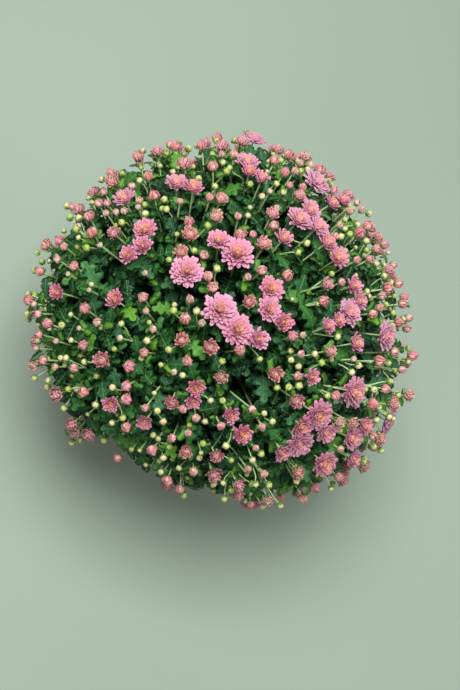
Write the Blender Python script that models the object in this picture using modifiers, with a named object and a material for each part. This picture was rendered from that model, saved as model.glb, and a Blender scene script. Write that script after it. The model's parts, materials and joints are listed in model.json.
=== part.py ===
"""Pot chrysanthemum: a dome of leafy shoots that carry buds and pink blooms, in a plain plastic pot.

Metres, +Z up, the origin in the middle of the pot's foot. +X points right and +Y points up in the
photograph, which looks down on the plant from the left of its near side.
"""

import math
import random
from dataclasses import dataclass

import bmesh
import bpy
from mathutils import Matrix, Vector
from mathutils.geometry import intersect_point_line

# The pot: its wall runs straight from the foot up to a banded rim
POT_HEIGHT = 0.150
RIM_RADIUS = 0.100
BAND_HEIGHT = 0.022
BAND_STEP = 0.003
BAND_TAPER = 0.0015
FOOT_RADIUS = 0.072
FOOT_EDGE = 0.001
FOOT_RING = 0.008
FOOT_RISE = 0.004
POT_WALL = 0.0022
LIP_DROP = 0.003
POT_SIDES = 28
DRAIN_HOLES = 6
DRAIN_RADIUS = 0.0055
DRAIN_CIRCLE = 0.048
DRAIN_SIDES = 6
MERGE_WITHIN = 0.00005
ROUND_ANGLE = math.radians(35)

# The block of potting soil
SOIL_TOP = 0.136
SOIL_SIDES = 24
SOIL_SLACK = 0.0008
GAP = 0.0003

# The flowering dome, and the point in the soil that every main stem comes from
DOME_MIDDLE = Vector((0.006, -0.004, 0.235))
DOME_RADIUS = 0.208
DOME_HALF_HEIGHT = 0.158
CROWN = Vector((0, 0, 0.105))
# It has grown fuller to some sides: (share of its radius, how many sides, the first one's azimuth)
DOME_LOBES = ((0.027, 2, math.radians(-25)), (0.032, 3, math.radians(-48)))

# How the photograph looks at the dome
SIGHT_ELEVATION = math.radians(62)
SIGHT_AZIMUTH = math.radians(-48)
SIGHT_ROLL = math.radians(48)
SIGHT_DISTANCE = 1.25
PIXEL_SIZE = 0.0011
MIDDLE_PIXEL = (228, 319)
RAY_STEPS = 100
RAY_HALVINGS = 24

# Open blooms in the photograph: pixels across, pixels down, pixels wide when seen from in front
BLOOMS_SEEN = (
    (124, 198, 24), (145, 229, 25), (144, 245, 22), (127, 256, 20), (178, 183, 24), (192, 187, 22),
    (247, 160, 24), (249, 173, 18), (263, 179, 18), (220, 241, 24), (236, 251, 33), (318, 181, 30),
    (332, 203, 18), (307, 205, 24), (300, 218, 28), (318, 226, 25), (284, 238, 21), (329, 247, 22),
    (340, 259, 24), (343, 200, 18), (57, 292, 18), (115, 299, 21), (187, 271, 32), (216, 303, 34),
    (235, 333, 33), (272, 284, 26), (267, 312, 26), (285, 323, 22), (266, 342, 24), (353, 284, 20),
    (352, 313, 28), (322, 329, 18), (336, 322, 17), (364, 297, 20), (387, 336, 28), (356, 343, 21),
    (355, 392, 31), (312, 377, 19), (319, 412, 31), (301, 426, 21), (298, 446, 28), (284, 452, 20),
    (327, 436, 24), (325, 464, 27), (350, 440, 25), (353, 459, 21), (367, 424, 20), (242, 434, 22),
    (231, 415, 19), (145, 422, 18), (111, 404, 19), (196, 386, 19), (193, 403, 18),
)
HIDDEN_BLOOMS = 8
HIDDEN_WIDTHS = (0.023, 0.031)
HIDDEN_TRIES = 160
HIDDEN_BELOW = 0.05

# How far apart two blooms stand, as a share of their radii together
JOIN_WITHIN = 1.18
JOINED_AT = 0.81
APART_AT = 1.07
SPREAD_ROUNDS = 30
SPREAD_STEP = 0.4

# Petals: a bloom over the wide radius has one more layer
PETALS = 8
WIDE_PETALS = 10
WIDE_RADIUS = 0.014
BLOOM_SEAT = 0.0019
BLOOM_RISE = 0.20
BLOOM_SINK = 0.003
# Rings of a bloom as (share of its radius, height over the rise)
PETAL_TIPS = (1.0, 0.0022)
PETAL_NOTCHES = (0.60, 0.0008)
UPPER_RINGS = ((0.56, 0.0066),)
WIDE_UPPER_RINGS = ((0.70, 0.0062), (0.40, 0.0088))
BLOOM_EYE = 0.0050

# The other heads, and how many of them these solids carry
HALF_OPEN = 250
HALF_OPEN_HERE = 76
HALF_OPEN_TRIES = 4
HALF_OPEN_RADII = (0.0051, 0.0078)
HALF_OPEN_PETALS = 4
# Its rings as (width, height from its middle), both shares of its radius
HALF_OPEN_NECK = -0.85
HALF_OPEN_BELLY = (1.0, 0.05)
HALF_OPEN_TIPS = (0.62, 0.95)
HALF_OPEN_NOTCHES = (0.72, 0.45)
HALF_OPEN_HOLLOW = 0.50
BUDS = 260
BUDS_HERE = 24
BUD_TRIES = 6
BUD_RADII = (0.0033, 0.0042)
BUD_SIDES = 5
BUD_NECK = -0.9
BUD_TOP = (0.5, 0.85)
BUD_GAPS = (0.0025, 0.0085)
BUD_DROPS = (-0.002, 0.007)
BUD_STALKS = (0.024, 0.036)
BUD_STALK_FOOT = 0.0005
BUD_CLEARANCE = 0.0025
LOWEST_HEAD = math.radians(108)
HEAD_LIFTS = (0.975, 1.015)
ROOM_BETWEEN_HEADS = 0.0015

# Main stems: rings of them as (lean from upright, how many, first azimuth), all in degrees
MAIN_RINGS = ((0, 1, 0), (27, 5, 10), (51, 8, 30))
MAIN_START = 0.016
MAIN_END = 0.40
MAIN_RADII = (0.0027, 0.0020)
MAIN_SIDES = 5
STEM_HOLE_SLACK = 0.0006
HOLE_BEYOND = 0.020
CELL_MARGIN = 0.0015

# Stalks leave a main stem at these shares of its way to the dome, lower for each radian off it
STALK_SHARES = (0.34, 0.60)
LEAFY_STALK_SHARE = 0.44
STALK_DROP = 0.9
STALK_SCATTER = 0.05
STALK_RADII = (0.0014, 0.0010)
STALK_SIDES = 3

# The close-packed heart of each shoot: its tiers as (share of the way to the dome, width, tips)
HEART_TIERS = ((0.27, 0.30, 5), (0.42, 0.82, 7), (0.56, 0.84, 8))
HEART_TOP = 0.64
HEART_NOTCH = 0.62
HEART_SPREAD = 34
HEART_HANG = 0.7
POT_CLEARANCE = 0.013
SOIL_CLEARANCE = 0.004

# Leaves: those of the stalks, and the leafy tips that hang over the rim
LEAVES_HERE = 188
LEAVES_PER_STALK = 4
FIRST_LEAF_DOWN = 0.026
LEAF_STEP = 0.013
LEAF_STEP_SCATTER = 0.006
LEAF_LENGTHS = (0.028, 0.042)
LEAF_LENGTH_SCATTER = (-0.002, 0.004)
LEAF_LEANS = (48, 66)
LEAF_FACE_LIFT = 0.3
GOLDEN_TURN = math.radians(137.5)
LEAFLESS_FOOT = 0.010
LEAFY_TIPS = 20
LEAFY_SCATTER = 0.25
LEAFY_POLARS = (108, 134)
LEAFY_LIFT = 0.93
LEAFY_RADIUS = 0.004
LEAFY_TIP_LEAVES = 6
FIRST_TIP_LEAF_DOWN = 0.002
LEAFY_TIP_STEP = 0.012
LEAF_GROWTH = 0.6
LEAF_THICKNESS = 0.0018
LEAF_THICKEST = 0.44
LEAF_ARCH = 0.10
LEAF_FOLD = 0.25
LEAF_MIDDLE = 0.60

# Where a leaf may be: how near the dome it reaches, and what it keeps clear of
LEAF_REACH = 0.925
LOW_LEAF_REACH = 1.03
LOW_LEAVES_UNDER = 0.185
RIM_MARGIN = 0.012
RIM_CLEARANCE = 0.008
LEAF_CELL_MARGIN = 0.0025
LEAF_HEAD_GAP = 0.003
LEAF_CLEARANCE = 0.20
BLADE_CHECKED_AT = (0.4, 0.6, 0.8)

# One half of a leaf's lobed edge, as shares of its length: along, sideways
LEAF_HALF = ((0.40, 0.31), (0.57, 0.16), (0.76, 0.27))

SEED = 2611


@dataclass(eq=False)
class Head:
    """A bloom, half-open head, bud or leafy tip, with the straight stalk that carries it."""

    kind: str
    spot: Vector
    radius: float
    shoot: int
    foot: Vector
    axis: Vector
    turn: float
    parent: "Head" = None


def sight_axes():
    """The photograph's right, its up and the direction back to where it was taken from."""
    level, rise = math.cos(SIGHT_ELEVATION), math.sin(SIGHT_ELEVATION)
    east, north = math.sin(SIGHT_AZIMUTH), -math.cos(SIGHT_AZIMUTH)
    back = Vector((east * level, north * level, rise))
    upright = Vector((-east * rise, -north * rise, level))
    up = Matrix.Rotation(SIGHT_ROLL, 3, back) @ upright
    return up.cross(back), up, back


SIGHT_RIGHT, SIGHT_UP, SIGHT_BACK = sight_axes()


def dome_radius(vector):
    """The dome's level radius to the side that the vector points to."""
    azimuth = math.atan2(vector.y, vector.x)
    lobes = sum(share * math.cos(sides * (azimuth - first)) for share, sides, first in DOME_LOBES)
    return DOME_RADIUS * (1 + lobes)


def to_unit_dome(vector):
    """The vector in the space where the dome is a ball of radius 1."""
    flat = dome_radius(vector)
    return Vector((vector.x / flat, vector.y / flat, vector.z / DOME_HALF_HEIGHT))


def from_unit_dome(vector):
    """The point in space of a vector from the middle of that ball."""
    flat = dome_radius(vector)
    return DOME_MIDDLE + Vector((vector.x * flat, vector.y * flat, vector.z * DOME_HALF_HEIGHT))


def onto_dome(point):
    """Where the line from the dome's middle through the point meets the dome."""
    return from_unit_dome(to_unit_dome(point - DOME_MIDDLE).normalized())


def on_dome(polar, azimuth, lift=1.0):
    """The point at this angle down from the dome's top and this way round."""
    flat = math.sin(polar)
    way = Vector((flat * math.cos(azimuth), flat * math.sin(azimuth), math.cos(polar)))
    return from_unit_dome(way * lift)


def depth_share(point):
    """1 on the dome, less inside it."""
    return to_unit_dome(point - DOME_MIDDLE).length


def crossing(start, ray, inside, outside):
    """The share of a ray at which it crosses the dome, between a share inside it and one outside."""
    for _ in range(RAY_HALVINGS):
        middle = (inside + outside) / 2
        if depth_share(start + ray * middle) > 1:
            outside = middle
        else:
            inside = middle
    return inside


def seen_at(across, down):
    """The point of the dome that shows at this pixel of the photograph."""
    right = (across - MIDDLE_PIXEL[0]) * PIXEL_SIZE
    up = (MIDDLE_PIXEL[1] - down) * PIXEL_SIZE
    eye = DOME_MIDDLE + SIGHT_BACK * SIGHT_DISTANCE
    ray = DOME_MIDDLE + SIGHT_RIGHT * right + SIGHT_UP * up - eye
    shares = [k / RAY_STEPS for k in range(2 * RAY_STEPS)]
    deepest = min(shares, key=lambda share: depth_share(eye + ray * share))
    return onto_dome(eye + ray * crossing(eye, ray, deepest, 0.0))


def main_aims():
    """The direction of each main stem from the crown."""
    aims = []
    for lean, count, first in MAIN_RINGS:
        flat, height = math.sin(math.radians(lean)), math.cos(math.radians(lean))
        for k in range(count):
            azimuth = math.radians(first + 360 * k / count)
            aims.append(Vector((flat * math.cos(azimuth), flat * math.sin(azimuth), height)))
    return aims


AIMS = main_aims()


def reach(aim):
    """How far the dome is from the crown in this direction."""
    return crossing(CROWN, aim, 0.0, 2 * DOME_RADIUS)


def on_main(shoot, share):
    """The point of a main stem's line at this share of the way from the crown to the dome."""
    return CROWN + AIMS[shoot] * (reach(AIMS[shoot]) * share)


def shoot_of(point):
    """The main stem whose direction is nearest to the point's."""
    away = point - CROWN
    return max(range(len(AIMS)), key=lambda k: away.dot(AIMS[k]))


def room_in_cell(point, shoot):
    """How far the point is inside the wedge of space that a shoot keeps to itself."""
    away = point - CROWN
    own = AIMS[shoot]
    return min(away.dot((own - other).normalized()) for other in AIMS if other is not own)


def line_distance(point, start, end):
    """The distance from a point to a straight piece of stem."""
    share = intersect_point_line(point, start, end)[1]
    return (point - start.lerp(end, min(1.0, max(0.0, share)))).length


def spread_apart(spots, radii):
    """Draws blooms that nearly touch into one cluster, petals between petals, and frees all others."""
    pairs = [(i, j, radii[i] + radii[j]) for i in range(len(spots)) for j in range(i)]
    joined = [(spots[i] - spots[j]).length < JOIN_WITHIN * wide for i, j, wide in pairs]
    for _ in range(SPREAD_ROUNDS):
        for (i, j, wide), together in zip(pairs, joined):
            gap = spots[i] - spots[j]
            wanted = JOINED_AT * wide if together else max(gap.length, APART_AT * wide)
            push = gap.normalized() * (SPREAD_STEP * (wanted - gap.length))
            spots[i] = onto_dome(spots[i] + push)
            spots[j] = onto_dome(spots[j] - push)
    return spots


def stalked_head(kind, spot, radius, draw):
    """A head on a stalk of its own. A stalk to the outside of its shoot leaves the main stem lower."""
    shoot = shoot_of(spot)
    off = (spot - CROWN).angle(AIMS[shoot])
    lowest = LEAFY_STALK_SHARE if kind == "leafy" else STALK_SHARES[0]
    share = max(lowest, STALK_SHARES[1] - STALK_DROP * off - draw.uniform(0, STALK_SCATTER))
    foot = on_main(shoot, share)
    axis = (spot - foot).normalized()
    return Head(kind, spot, radius, shoot, foot, axis, draw.uniform(0, math.tau))


def has_room(spot, radius, heads):
    return all((spot - h.spot).length > radius + h.radius + ROOM_BETWEEN_HEADS for h in heads)


def widest_spot(draw, heads, radius, tries, wanted=lambda spot: True):
    """Of a few random places on the dome, the one that has most room round it."""
    best, best_room = None, 0.0
    for _ in range(tries):
        polar = math.acos(draw.uniform(math.cos(LOWEST_HEAD), 1))
        spot = on_dome(polar, draw.uniform(0, math.tau), draw.uniform(*HEAD_LIFTS))
        if wanted(spot) and has_room(spot, radius, heads):
            room = min((spot - h.spot).length - h.radius for h in heads)
            if room > best_room:
                best, best_room = spot, room
    return best


def out_of_sight(spot):
    """Whether the photograph can't show this place on the dome."""
    return to_unit_dome(spot - DOME_MIDDLE).normalized().dot(SIGHT_BACK) < HIDDEN_BELOW


def plan_blooms(draw):
    """The open blooms: those of the photograph, and a few on the side that it doesn't show."""
    spots = [seen_at(across, down) for across, down, _ in BLOOMS_SEEN]
    eye = DOME_MIDDLE + SIGHT_BACK * SIGHT_DISTANCE
    radii = [
        wide * PIXEL_SIZE * (eye - spot).length / SIGHT_DISTANCE / 2
        for spot, (_, _, wide) in zip(spots, BLOOMS_SEEN)
    ]
    spots = spread_apart(spots, radii)
    blooms = [stalked_head("bloom", spot, radius, draw) for spot, radius in zip(spots, radii)]
    for _ in range(HIDDEN_BLOOMS):
        radius = draw.uniform(*HIDDEN_WIDTHS) / 2
        spot = widest_spot(draw, blooms, radius, HIDDEN_TRIES, out_of_sight)
        blooms.append(stalked_head("bloom", spot, radius, draw))
    return blooms


def plan_half_open(blooms, draw):
    """The half-open heads, spread evenly between the blooms."""
    heads = []
    for _ in range(HALF_OPEN):
        radius = draw.uniform(*HALF_OPEN_RADII)
        spot = widest_spot(draw, blooms + heads, radius, HALF_OPEN_TRIES)
        if spot:
            heads.append(stalked_head("half", spot, radius, draw))
    return heads


def plan_leafy_tips(draw):
    """Flowerless shoot tips round the lowest part of the dome, outside the pot's rim."""
    tips = []
    for k in range(LEAFY_TIPS):
        polar = math.radians(draw.uniform(*LEAFY_POLARS))
        azimuth = math.tau * (k + draw.uniform(-LEAFY_SCATTER, LEAFY_SCATTER)) / LEAFY_TIPS
        spot = on_dome(polar, azimuth, LEAFY_LIFT)
        tips.append(stalked_head("leafy", spot, LEAFY_RADIUS, draw))
    return tips


def plan_buds(flowers, draw):
    """Closed buds, each on a short stalk from the side of a flower's own stalk."""
    buds = []
    for _ in range(BUDS * BUD_TRIES):
        if len(buds) == BUDS:
            break
        parent = draw.choice(flowers)
        radius = draw.uniform(*BUD_RADII)
        side = Matrix.Rotation(draw.uniform(0, math.tau), 3, parent.axis) @ parent.axis.orthogonal()
        out = parent.radius + radius + draw.uniform(*BUD_GAPS)
        spot = parent.spot + side.normalized() * out - parent.axis * draw.uniform(*BUD_DROPS)
        others = [h for h in flowers if h is not parent]
        if (
            has_room(spot, radius, flowers + buds)
            and room_in_cell(spot, parent.shoot) > radius + CELL_MARGIN
            and all(line_distance(spot, h.foot, h.spot) > radius + BUD_CLEARANCE for h in others)
        ):
            foot = parent.spot - parent.axis * draw.uniform(*BUD_STALKS)
            axis = (spot - foot).normalized()
            turn = draw.uniform(0, math.tau)
            buds.append(Head("bud", spot, radius, parent.shoot, foot, axis, turn, parent))
    return buds


def leaf_rise(along):
    """How far a leaf's middle line stands above its chord: it climbs, then hangs over."""
    return LEAF_ARCH * (math.sin(math.pi * along) - along * along)


def leaf_outline():
    """The lobed edge, from the base up one side to the tip and back down the other."""
    right = [Vector((x, -y, leaf_rise(x) + LEAF_FOLD * y)) for x, y in LEAF_HALF]
    left = [Vector((x, y, leaf_rise(x) + LEAF_FOLD * y)) for x, y in reversed(LEAF_HALF)]
    return [Vector((0, 0, 0)), *right, Vector((1, 0, leaf_rise(1))), *left]


def leaf_place(root, out, face, length):
    """The placing of a leaf whose base is at root, which runs along out with its face turned to face."""
    out = out.normalized()
    face = (face - out * face.dot(out)).normalized()
    turn = Matrix((out, face.cross(out), face)).transposed().to_4x4()
    return Matrix.Translation(root) @ turn @ Matrix.Scale(length, 4)


def leaves_of(stalk, draw):
    """The leaves that a stalk may carry, from its head downwards, as (placing, length)."""
    leaves = []
    start = draw.uniform(0, math.tau)
    leafy = stalk.kind == "leafy"
    count = LEAFY_TIP_LEAVES if leafy else LEAVES_PER_STALK
    for k in range(count):
        if leafy:
            down = FIRST_TIP_LEAF_DOWN + LEAFY_TIP_STEP * k
            share = LEAF_GROWTH
        else:
            down = FIRST_LEAF_DOWN + LEAF_STEP * k + draw.uniform(0, LEAF_STEP_SCATTER)
            share = (k + LEAF_GROWTH) / count
        length = LEAF_LENGTHS[0] + (LEAF_LENGTHS[1] - LEAF_LENGTHS[0]) * share
        length += draw.uniform(*LEAF_LENGTH_SCATTER)
        side = stalk.axis.orthogonal().normalized()
        side.rotate(Matrix.Rotation(start + GOLDEN_TURN * k, 3, stalk.axis))
        lean = math.radians(draw.uniform(*LEAF_LEANS))
        out = stalk.axis * math.cos(lean) + side * math.sin(lean)
        root = stalk.spot - stalk.axis * down
        if down < (stalk.spot - stalk.foot).length - LEAFLESS_FOOT:
            face = stalk.axis + Vector((0, 0, LEAF_FACE_LIFT))
            leaves.append((leaf_place(root, out, face, length), length))
    return leaves


def leaf_point_fits(point, stalk, heads):
    """Whether this point of a leaf is in its shoot's own wedge, under the flowers and off the pot."""
    low = stalk.kind == "leafy" or point.z < LOW_LEAVES_UNDER
    over_pot = math.hypot(point.x, point.y) < RIM_RADIUS + RIM_MARGIN
    return (
        room_in_cell(point, stalk.shoot) > LEAF_CELL_MARGIN
        and depth_share(point) < (LOW_LEAF_REACH if low else LEAF_REACH)
        and not (over_pot and point.z < POT_HEIGHT + RIM_CLEARANCE)
        and all((point - h.spot).length > h.radius + LEAF_HEAD_GAP for h in heads)
    )


def leaf_fits(placing, stalk, heads):
    """Whether a leaf stays out of its shoot's heart, clear of other stalks and where leaves may be."""
    middle = Vector((LEAF_MIDDLE, 0, leaf_rise(LEAF_MIDDLE)))
    away = placing @ middle - CROWN
    if away.length < HEART_TOP * reach(away.normalized()):
        return False
    points = [placing @ point for point in (*leaf_outline(), middle)]
    if not all(leaf_point_fits(point, stalk, heads) for point in points):
        return False
    blade = [placing @ Vector((along, 0, leaf_rise(along))) for along in BLADE_CHECKED_AT]
    width = LEAF_CLEARANCE * placing.to_scale().x
    near = [h for h in heads if h.shoot == stalk.shoot and h is not stalk]
    return all(line_distance(point, h.foot, h.spot) > width for h in near for point in blade)


def even_choice(leaves, count):
    """So many of the leaves, each in turn as far as can be from those already taken."""
    middles = [placing @ Vector((LEAF_MIDDLE, 0, 0)) for placing, _, _ in leaves]
    room = [1.0] * len(leaves)
    chosen = []
    for _ in range(min(count, len(leaves))):
        best = max(range(len(leaves)), key=room.__getitem__)
        chosen.append(leaves[best])
        room = [min(r, (m - middles[best]).length) for r, m in zip(room, middles)]
    return chosen


def new_collection(name):
    collection = bpy.data.collections.new(name)
    bpy.context.scene.collection.children.link(collection)
    return collection


def new_object(name, mesh, collection, material=None):
    """An object of a bmesh, put into a collection."""
    data = bpy.data.meshes.new(name)
    mesh.to_mesh(data)
    mesh.free()
    obj = bpy.data.objects.new(name, data)
    collection.objects.link(obj)
    if material:
        data.materials.append(material)
    return obj


def plain_material(name, colour, roughness):
    material = bpy.data.materials.new(name)
    material.use_nodes = True
    shader = material.node_tree.nodes["Principled BSDF"]
    shader.inputs["Base Color"].default_value = (*colour, 1)
    shader.inputs["Roughness"].default_value = roughness
    shader.inputs["Metallic"].default_value = 0.0
    return material


def apply_modifiers(obj):
    """Gives the object the mesh that its modifiers make."""
    graph = bpy.context.evaluated_depsgraph_get()
    applied = bpy.data.meshes.new_from_object(obj.evaluated_get(graph))
    obj.modifiers.clear()
    old, obj.data = obj.data, applied
    bpy.data.meshes.remove(old)


def keep_largest_body(obj):
    """Fills the hollows that crossing leaves have sealed, and drops loose scraps."""
    mesh = bmesh.new()
    mesh.from_mesh(obj.data)
    left = set(mesh.verts)
    bodies = []
    while left:
        body = [left.pop()]
        for vert in body:
            found = {edge.other_vert(vert) for edge in vert.link_edges} & left
            left -= found
            body += found
        bodies.append(body)
    bodies.sort(key=len)
    scraps = [vert for body in bodies[:-1] for vert in body]
    bmesh.ops.delete(mesh, geom=scraps, context="VERTS")
    mesh.to_mesh(obj.data)
    mesh.free()


def fuse(base, pieces, collection):
    """Joins the pieces to the base object with one Boolean union, and removes them."""
    union = base.modifiers.new("grown together", "BOOLEAN")
    union.operation = "UNION"
    union.operand_type = "COLLECTION"
    union.collection = collection
    apply_modifiers(base)
    for piece in pieces:
        data = piece.data
        bpy.data.objects.remove(piece)
        bpy.data.meshes.remove(data)
    bpy.data.collections.remove(collection)


def cut(obj, cutters, name):
    """Cuts the cutter objects, which share one collection, out of the object."""
    for cutter in cutters:
        cutter.hide_render = True
        cutter.display_type = "WIRE"
    holes = obj.modifiers.new(name, "BOOLEAN")
    holes.operation = "DIFFERENCE"
    holes.operand_type = "COLLECTION"
    holes.collection = cutters[0].users_collection[0]


def circle(sides, radius, height=0.0, phase=0.0):
    turns = [math.tau * (k + phase) / sides for k in range(sides)]
    return [Vector((radius * math.cos(turn), radius * math.sin(turn), height)) for turn in turns]


def star(petals, tip, notch):
    """A ring of petal tips and the notches between them, each given as (radius, height)."""
    tips = circle(petals, *tip)
    notches = circle(petals, *notch, phase=0.5)
    return [point for pair in zip(tips, notches) for point in pair]


def loft(rings):
    """A closed bmesh through rings of points. Rings may differ in number, and an end may be one point."""
    mesh = bmesh.new()
    made = [[mesh.verts.new(point) for point in ring] for ring in rings]
    for lower, upper in zip(made, made[1:]):
        steps = [((i + 1) / len(lower), 0, i) for i in range(len(lower)) if len(lower) > 1]
        steps += [((j + 1) / len(upper), 1, j) for j in range(len(upper)) if len(upper) > 1]
        i = j = 0
        for _, on_upper, _ in sorted(steps):
            a, b = lower[i % len(lower)], upper[j % len(upper)]
            if on_upper:
                j += 1
                mesh.faces.new((a, upper[j % len(upper)], b))
            else:
                i += 1
                mesh.faces.new((a, lower[i % len(lower)], b))
    for end in (made[0], made[-1]):
        if len(end) > 2:
            mesh.faces.new(end)
    bmesh.ops.recalc_face_normals(mesh, faces=mesh.faces)
    bmesh.ops.triangulate(mesh, faces=mesh.faces)
    return mesh


def placed(mesh, placing):
    bmesh.ops.transform(mesh, matrix=placing, verts=mesh.verts)
    return mesh


def along_axis(base, axis, turn=0.0):
    """The placing of a shape that stands at base, its height along the axis."""
    upright = axis.to_track_quat("Z", "Y").to_matrix().to_4x4()
    return Matrix.Translation(base) @ upright @ Matrix.Rotation(turn, 4, "Z")


def stem_mesh(start, end, radii, sides):
    """A tapered piece of stem from start to end."""
    mesh = bmesh.new()
    length = (end - start).length
    bmesh.ops.create_cone(
        mesh, cap_ends=True, segments=sides, radius1=radii[0], radius2=radii[1], depth=length
    )
    return placed(mesh, along_axis((start + end) / 2, end - start))


def bloom_seat(head):
    """Where an open bloom sits: the middle of its underside."""
    return head.spot - head.axis * (BLOOM_RISE * head.radius + BLOOM_SINK)


def bloom_mesh(head):
    """An open bloom: layers of petals round a small eye, on a flat seat that is wider than its stalk."""
    wide = head.radius > WIDE_RADIUS
    petals = WIDE_PETALS if wide else PETALS
    rise = BLOOM_RISE * head.radius
    tip, notch = [(head.radius * share, rise + up) for share, up in (PETAL_TIPS, PETAL_NOTCHES)]
    rings = [circle(STALK_SIDES, BLOOM_SEAT), star(petals, tip, notch)]
    for layer, (share, up) in enumerate(WIDE_UPPER_RINGS if wide else UPPER_RINGS):
        rings.append(circle(petals, head.radius * share, rise + up, phase=0.5 - layer / 2))
    rings.append([Vector((0, 0, rise + BLOOM_EYE))])
    return placed(loft(rings), along_axis(bloom_seat(head), head.axis, head.turn))


def stalked_mesh(head, foot_radius, neck, rings):
    """A stalk that widens into a head. Heights are from the head's middle."""
    foot = circle(STALK_SIDES, foot_radius, -(head.spot - head.foot).length)
    top = circle(STALK_SIDES, STALK_RADII[1], neck * head.radius)
    return placed(loft([foot, top, *rings]), along_axis(head.spot, head.axis, head.turn))


def half_open_mesh(head):
    """A half-open head on its stalk: a ball of upright petals, their tips round a hollow middle."""
    r = head.radius
    belly, tip, notch = [
        (r * wide, r * high) for wide, high in (HALF_OPEN_BELLY, HALF_OPEN_TIPS, HALF_OPEN_NOTCHES)
    ]
    rings = [
        circle(HALF_OPEN_PETALS, *belly, phase=0.5),
        star(HALF_OPEN_PETALS, tip, notch),
        [Vector((0, 0, r * HALF_OPEN_HOLLOW))],
    ]
    return stalked_mesh(head, STALK_RADII[0], HALF_OPEN_NECK, rings)


def bud_mesh(head):
    """A closed bud on its stalk: a round drop, flat on top."""
    r = head.radius
    rings = [circle(BUD_SIDES, r), circle(BUD_SIDES, r * BUD_TOP[0], r * BUD_TOP[1], phase=0.5)]
    return stalked_mesh(head, BUD_STALK_FOOT, BUD_NECK, rings)


def leaf_mesh(placing, length):
    """A lobed leaf, thickest where its lower lobes meet the rib."""
    rib = Vector((LEAF_THICKEST, 0, leaf_rise(LEAF_THICKEST)))
    half = Vector((0, 0, LEAF_THICKNESS / length / 2))
    return placed(loft([[rib + half], leaf_outline(), [rib - half]]), placing)


def clear_of_pot(point):
    """Whether leaves may grow here: above the soil, above the rim, or outside it and not far below."""
    out = math.hypot(point.x, point.y)
    if out < RIM_RADIUS - POT_CLEARANCE:
        return point.z > SOIL_TOP + SOIL_CLEARANCE
    beyond_rim = max(0.0, out - RIM_RADIUS - POT_CLEARANCE)
    return point.z > POT_HEIGHT + POT_CLEARANCE - HEART_HANG * beyond_rim


def heart_edge(shoot, away, share):
    """The furthest point to one side of a main stem, at this share of its way, that its shoot may fill."""
    aim = AIMS[shoot]
    distance = reach(aim) * share
    for degrees in range(HEART_SPREAD, 0, -1):
        turned = Matrix.Rotation(math.radians(degrees), 3, aim.cross(away)) @ aim
        tried = CROWN + turned * distance
        if clear_of_pot(tried) and room_in_cell(tried, shoot) > LEAF_CELL_MARGIN:
            break
    return tried


def heart_mesh(shoot):
    """The close-packed leaves in the middle of a shoot, as tiers of leaf tips round its main stem."""
    aim = AIMS[shoot]
    side = aim.orthogonal().normalized()
    rings = []
    for share, width, tips in HEART_TIERS:
        middle = on_main(shoot, share)
        ring = []
        for k in range(2 * tips):
            away = Matrix.Rotation(math.pi * k / tips + share, 3, aim) @ side
            reached = width if k % 2 == 0 else width * HEART_NOTCH
            ring.append(middle.lerp(heart_edge(shoot, away, share), reached))
        rings.append(ring)
    return loft([*rings, [on_main(shoot, HEART_TOP)]])


def build_shoot(shoot, heads, leaves, plant, material):
    """One leafy shoot: its main stem with every stalk, leaf, half-open head and closed bud on it."""
    start, end = CROWN + AIMS[shoot] * MAIN_START, on_main(shoot, MAIN_END)
    stem = stem_mesh(start, end, MAIN_RADII, MAIN_SIDES)
    base = new_object(f"shoot_{shoot + 1:02d}", stem, plant, material)
    meshes = [heart_mesh(shoot)]
    for head in heads:
        if head.kind == "half":
            meshes.append(half_open_mesh(head))
        elif head.kind == "bud":
            meshes.append(bud_mesh(head))
        else:
            top = bloom_seat(head) - head.axis * GAP if head.kind == "bloom" else head.spot
            meshes.append(stem_mesh(head.foot, top, STALK_RADII, STALK_SIDES))
    meshes += [leaf_mesh(placing, length) for placing, length in leaves]
    parts = new_collection("shoot pieces")
    fuse(base, [new_object("piece", mesh, parts) for mesh in meshes], parts)
    keep_largest_body(base)


def loose_bodies(obj):
    """The object's separate bodies, each made its own object."""
    bpy.ops.object.select_all(action="DESELECT")
    bpy.context.view_layer.objects.active = obj
    obj.select_set(True)
    bpy.ops.mesh.separate(type="LOOSE")
    return list(bpy.context.selected_objects)


def touching(a, b):
    return (a.spot - b.spot).length < APART_AT * (a.radius + b.radius)


def build_blooms(blooms, plant, material):
    """The open blooms, those whose petals touch fused into one body."""
    left = list(blooms)
    made = []
    while left:
        cluster = [left.pop(0)]
        for member in cluster:
            cluster += [h for h in left if touching(h, member)]
            left = [h for h in left if h not in cluster]
        base = new_object("bloom", bloom_mesh(cluster[0]), plant, material)
        if len(cluster) > 1:
            petals = new_collection("petals")
            fuse(base, [new_object("piece", bloom_mesh(h), petals) for h in cluster[1:]], petals)
        made += loose_bodies(base)
    for number, bloom in enumerate(made):
        bloom.name = f"bloom_{number + 1:02d}"


def pot_inside(height):
    """The pot's inner radius at a height."""
    low, high = FOOT_RISE + POT_WALL, POT_HEIGHT - LIP_DROP
    foot, top = FOOT_RADIUS - POT_WALL, RIM_RADIUS - POT_WALL - BAND_STEP
    return foot + (top - foot) * (height - low) / (high - low)


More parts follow.
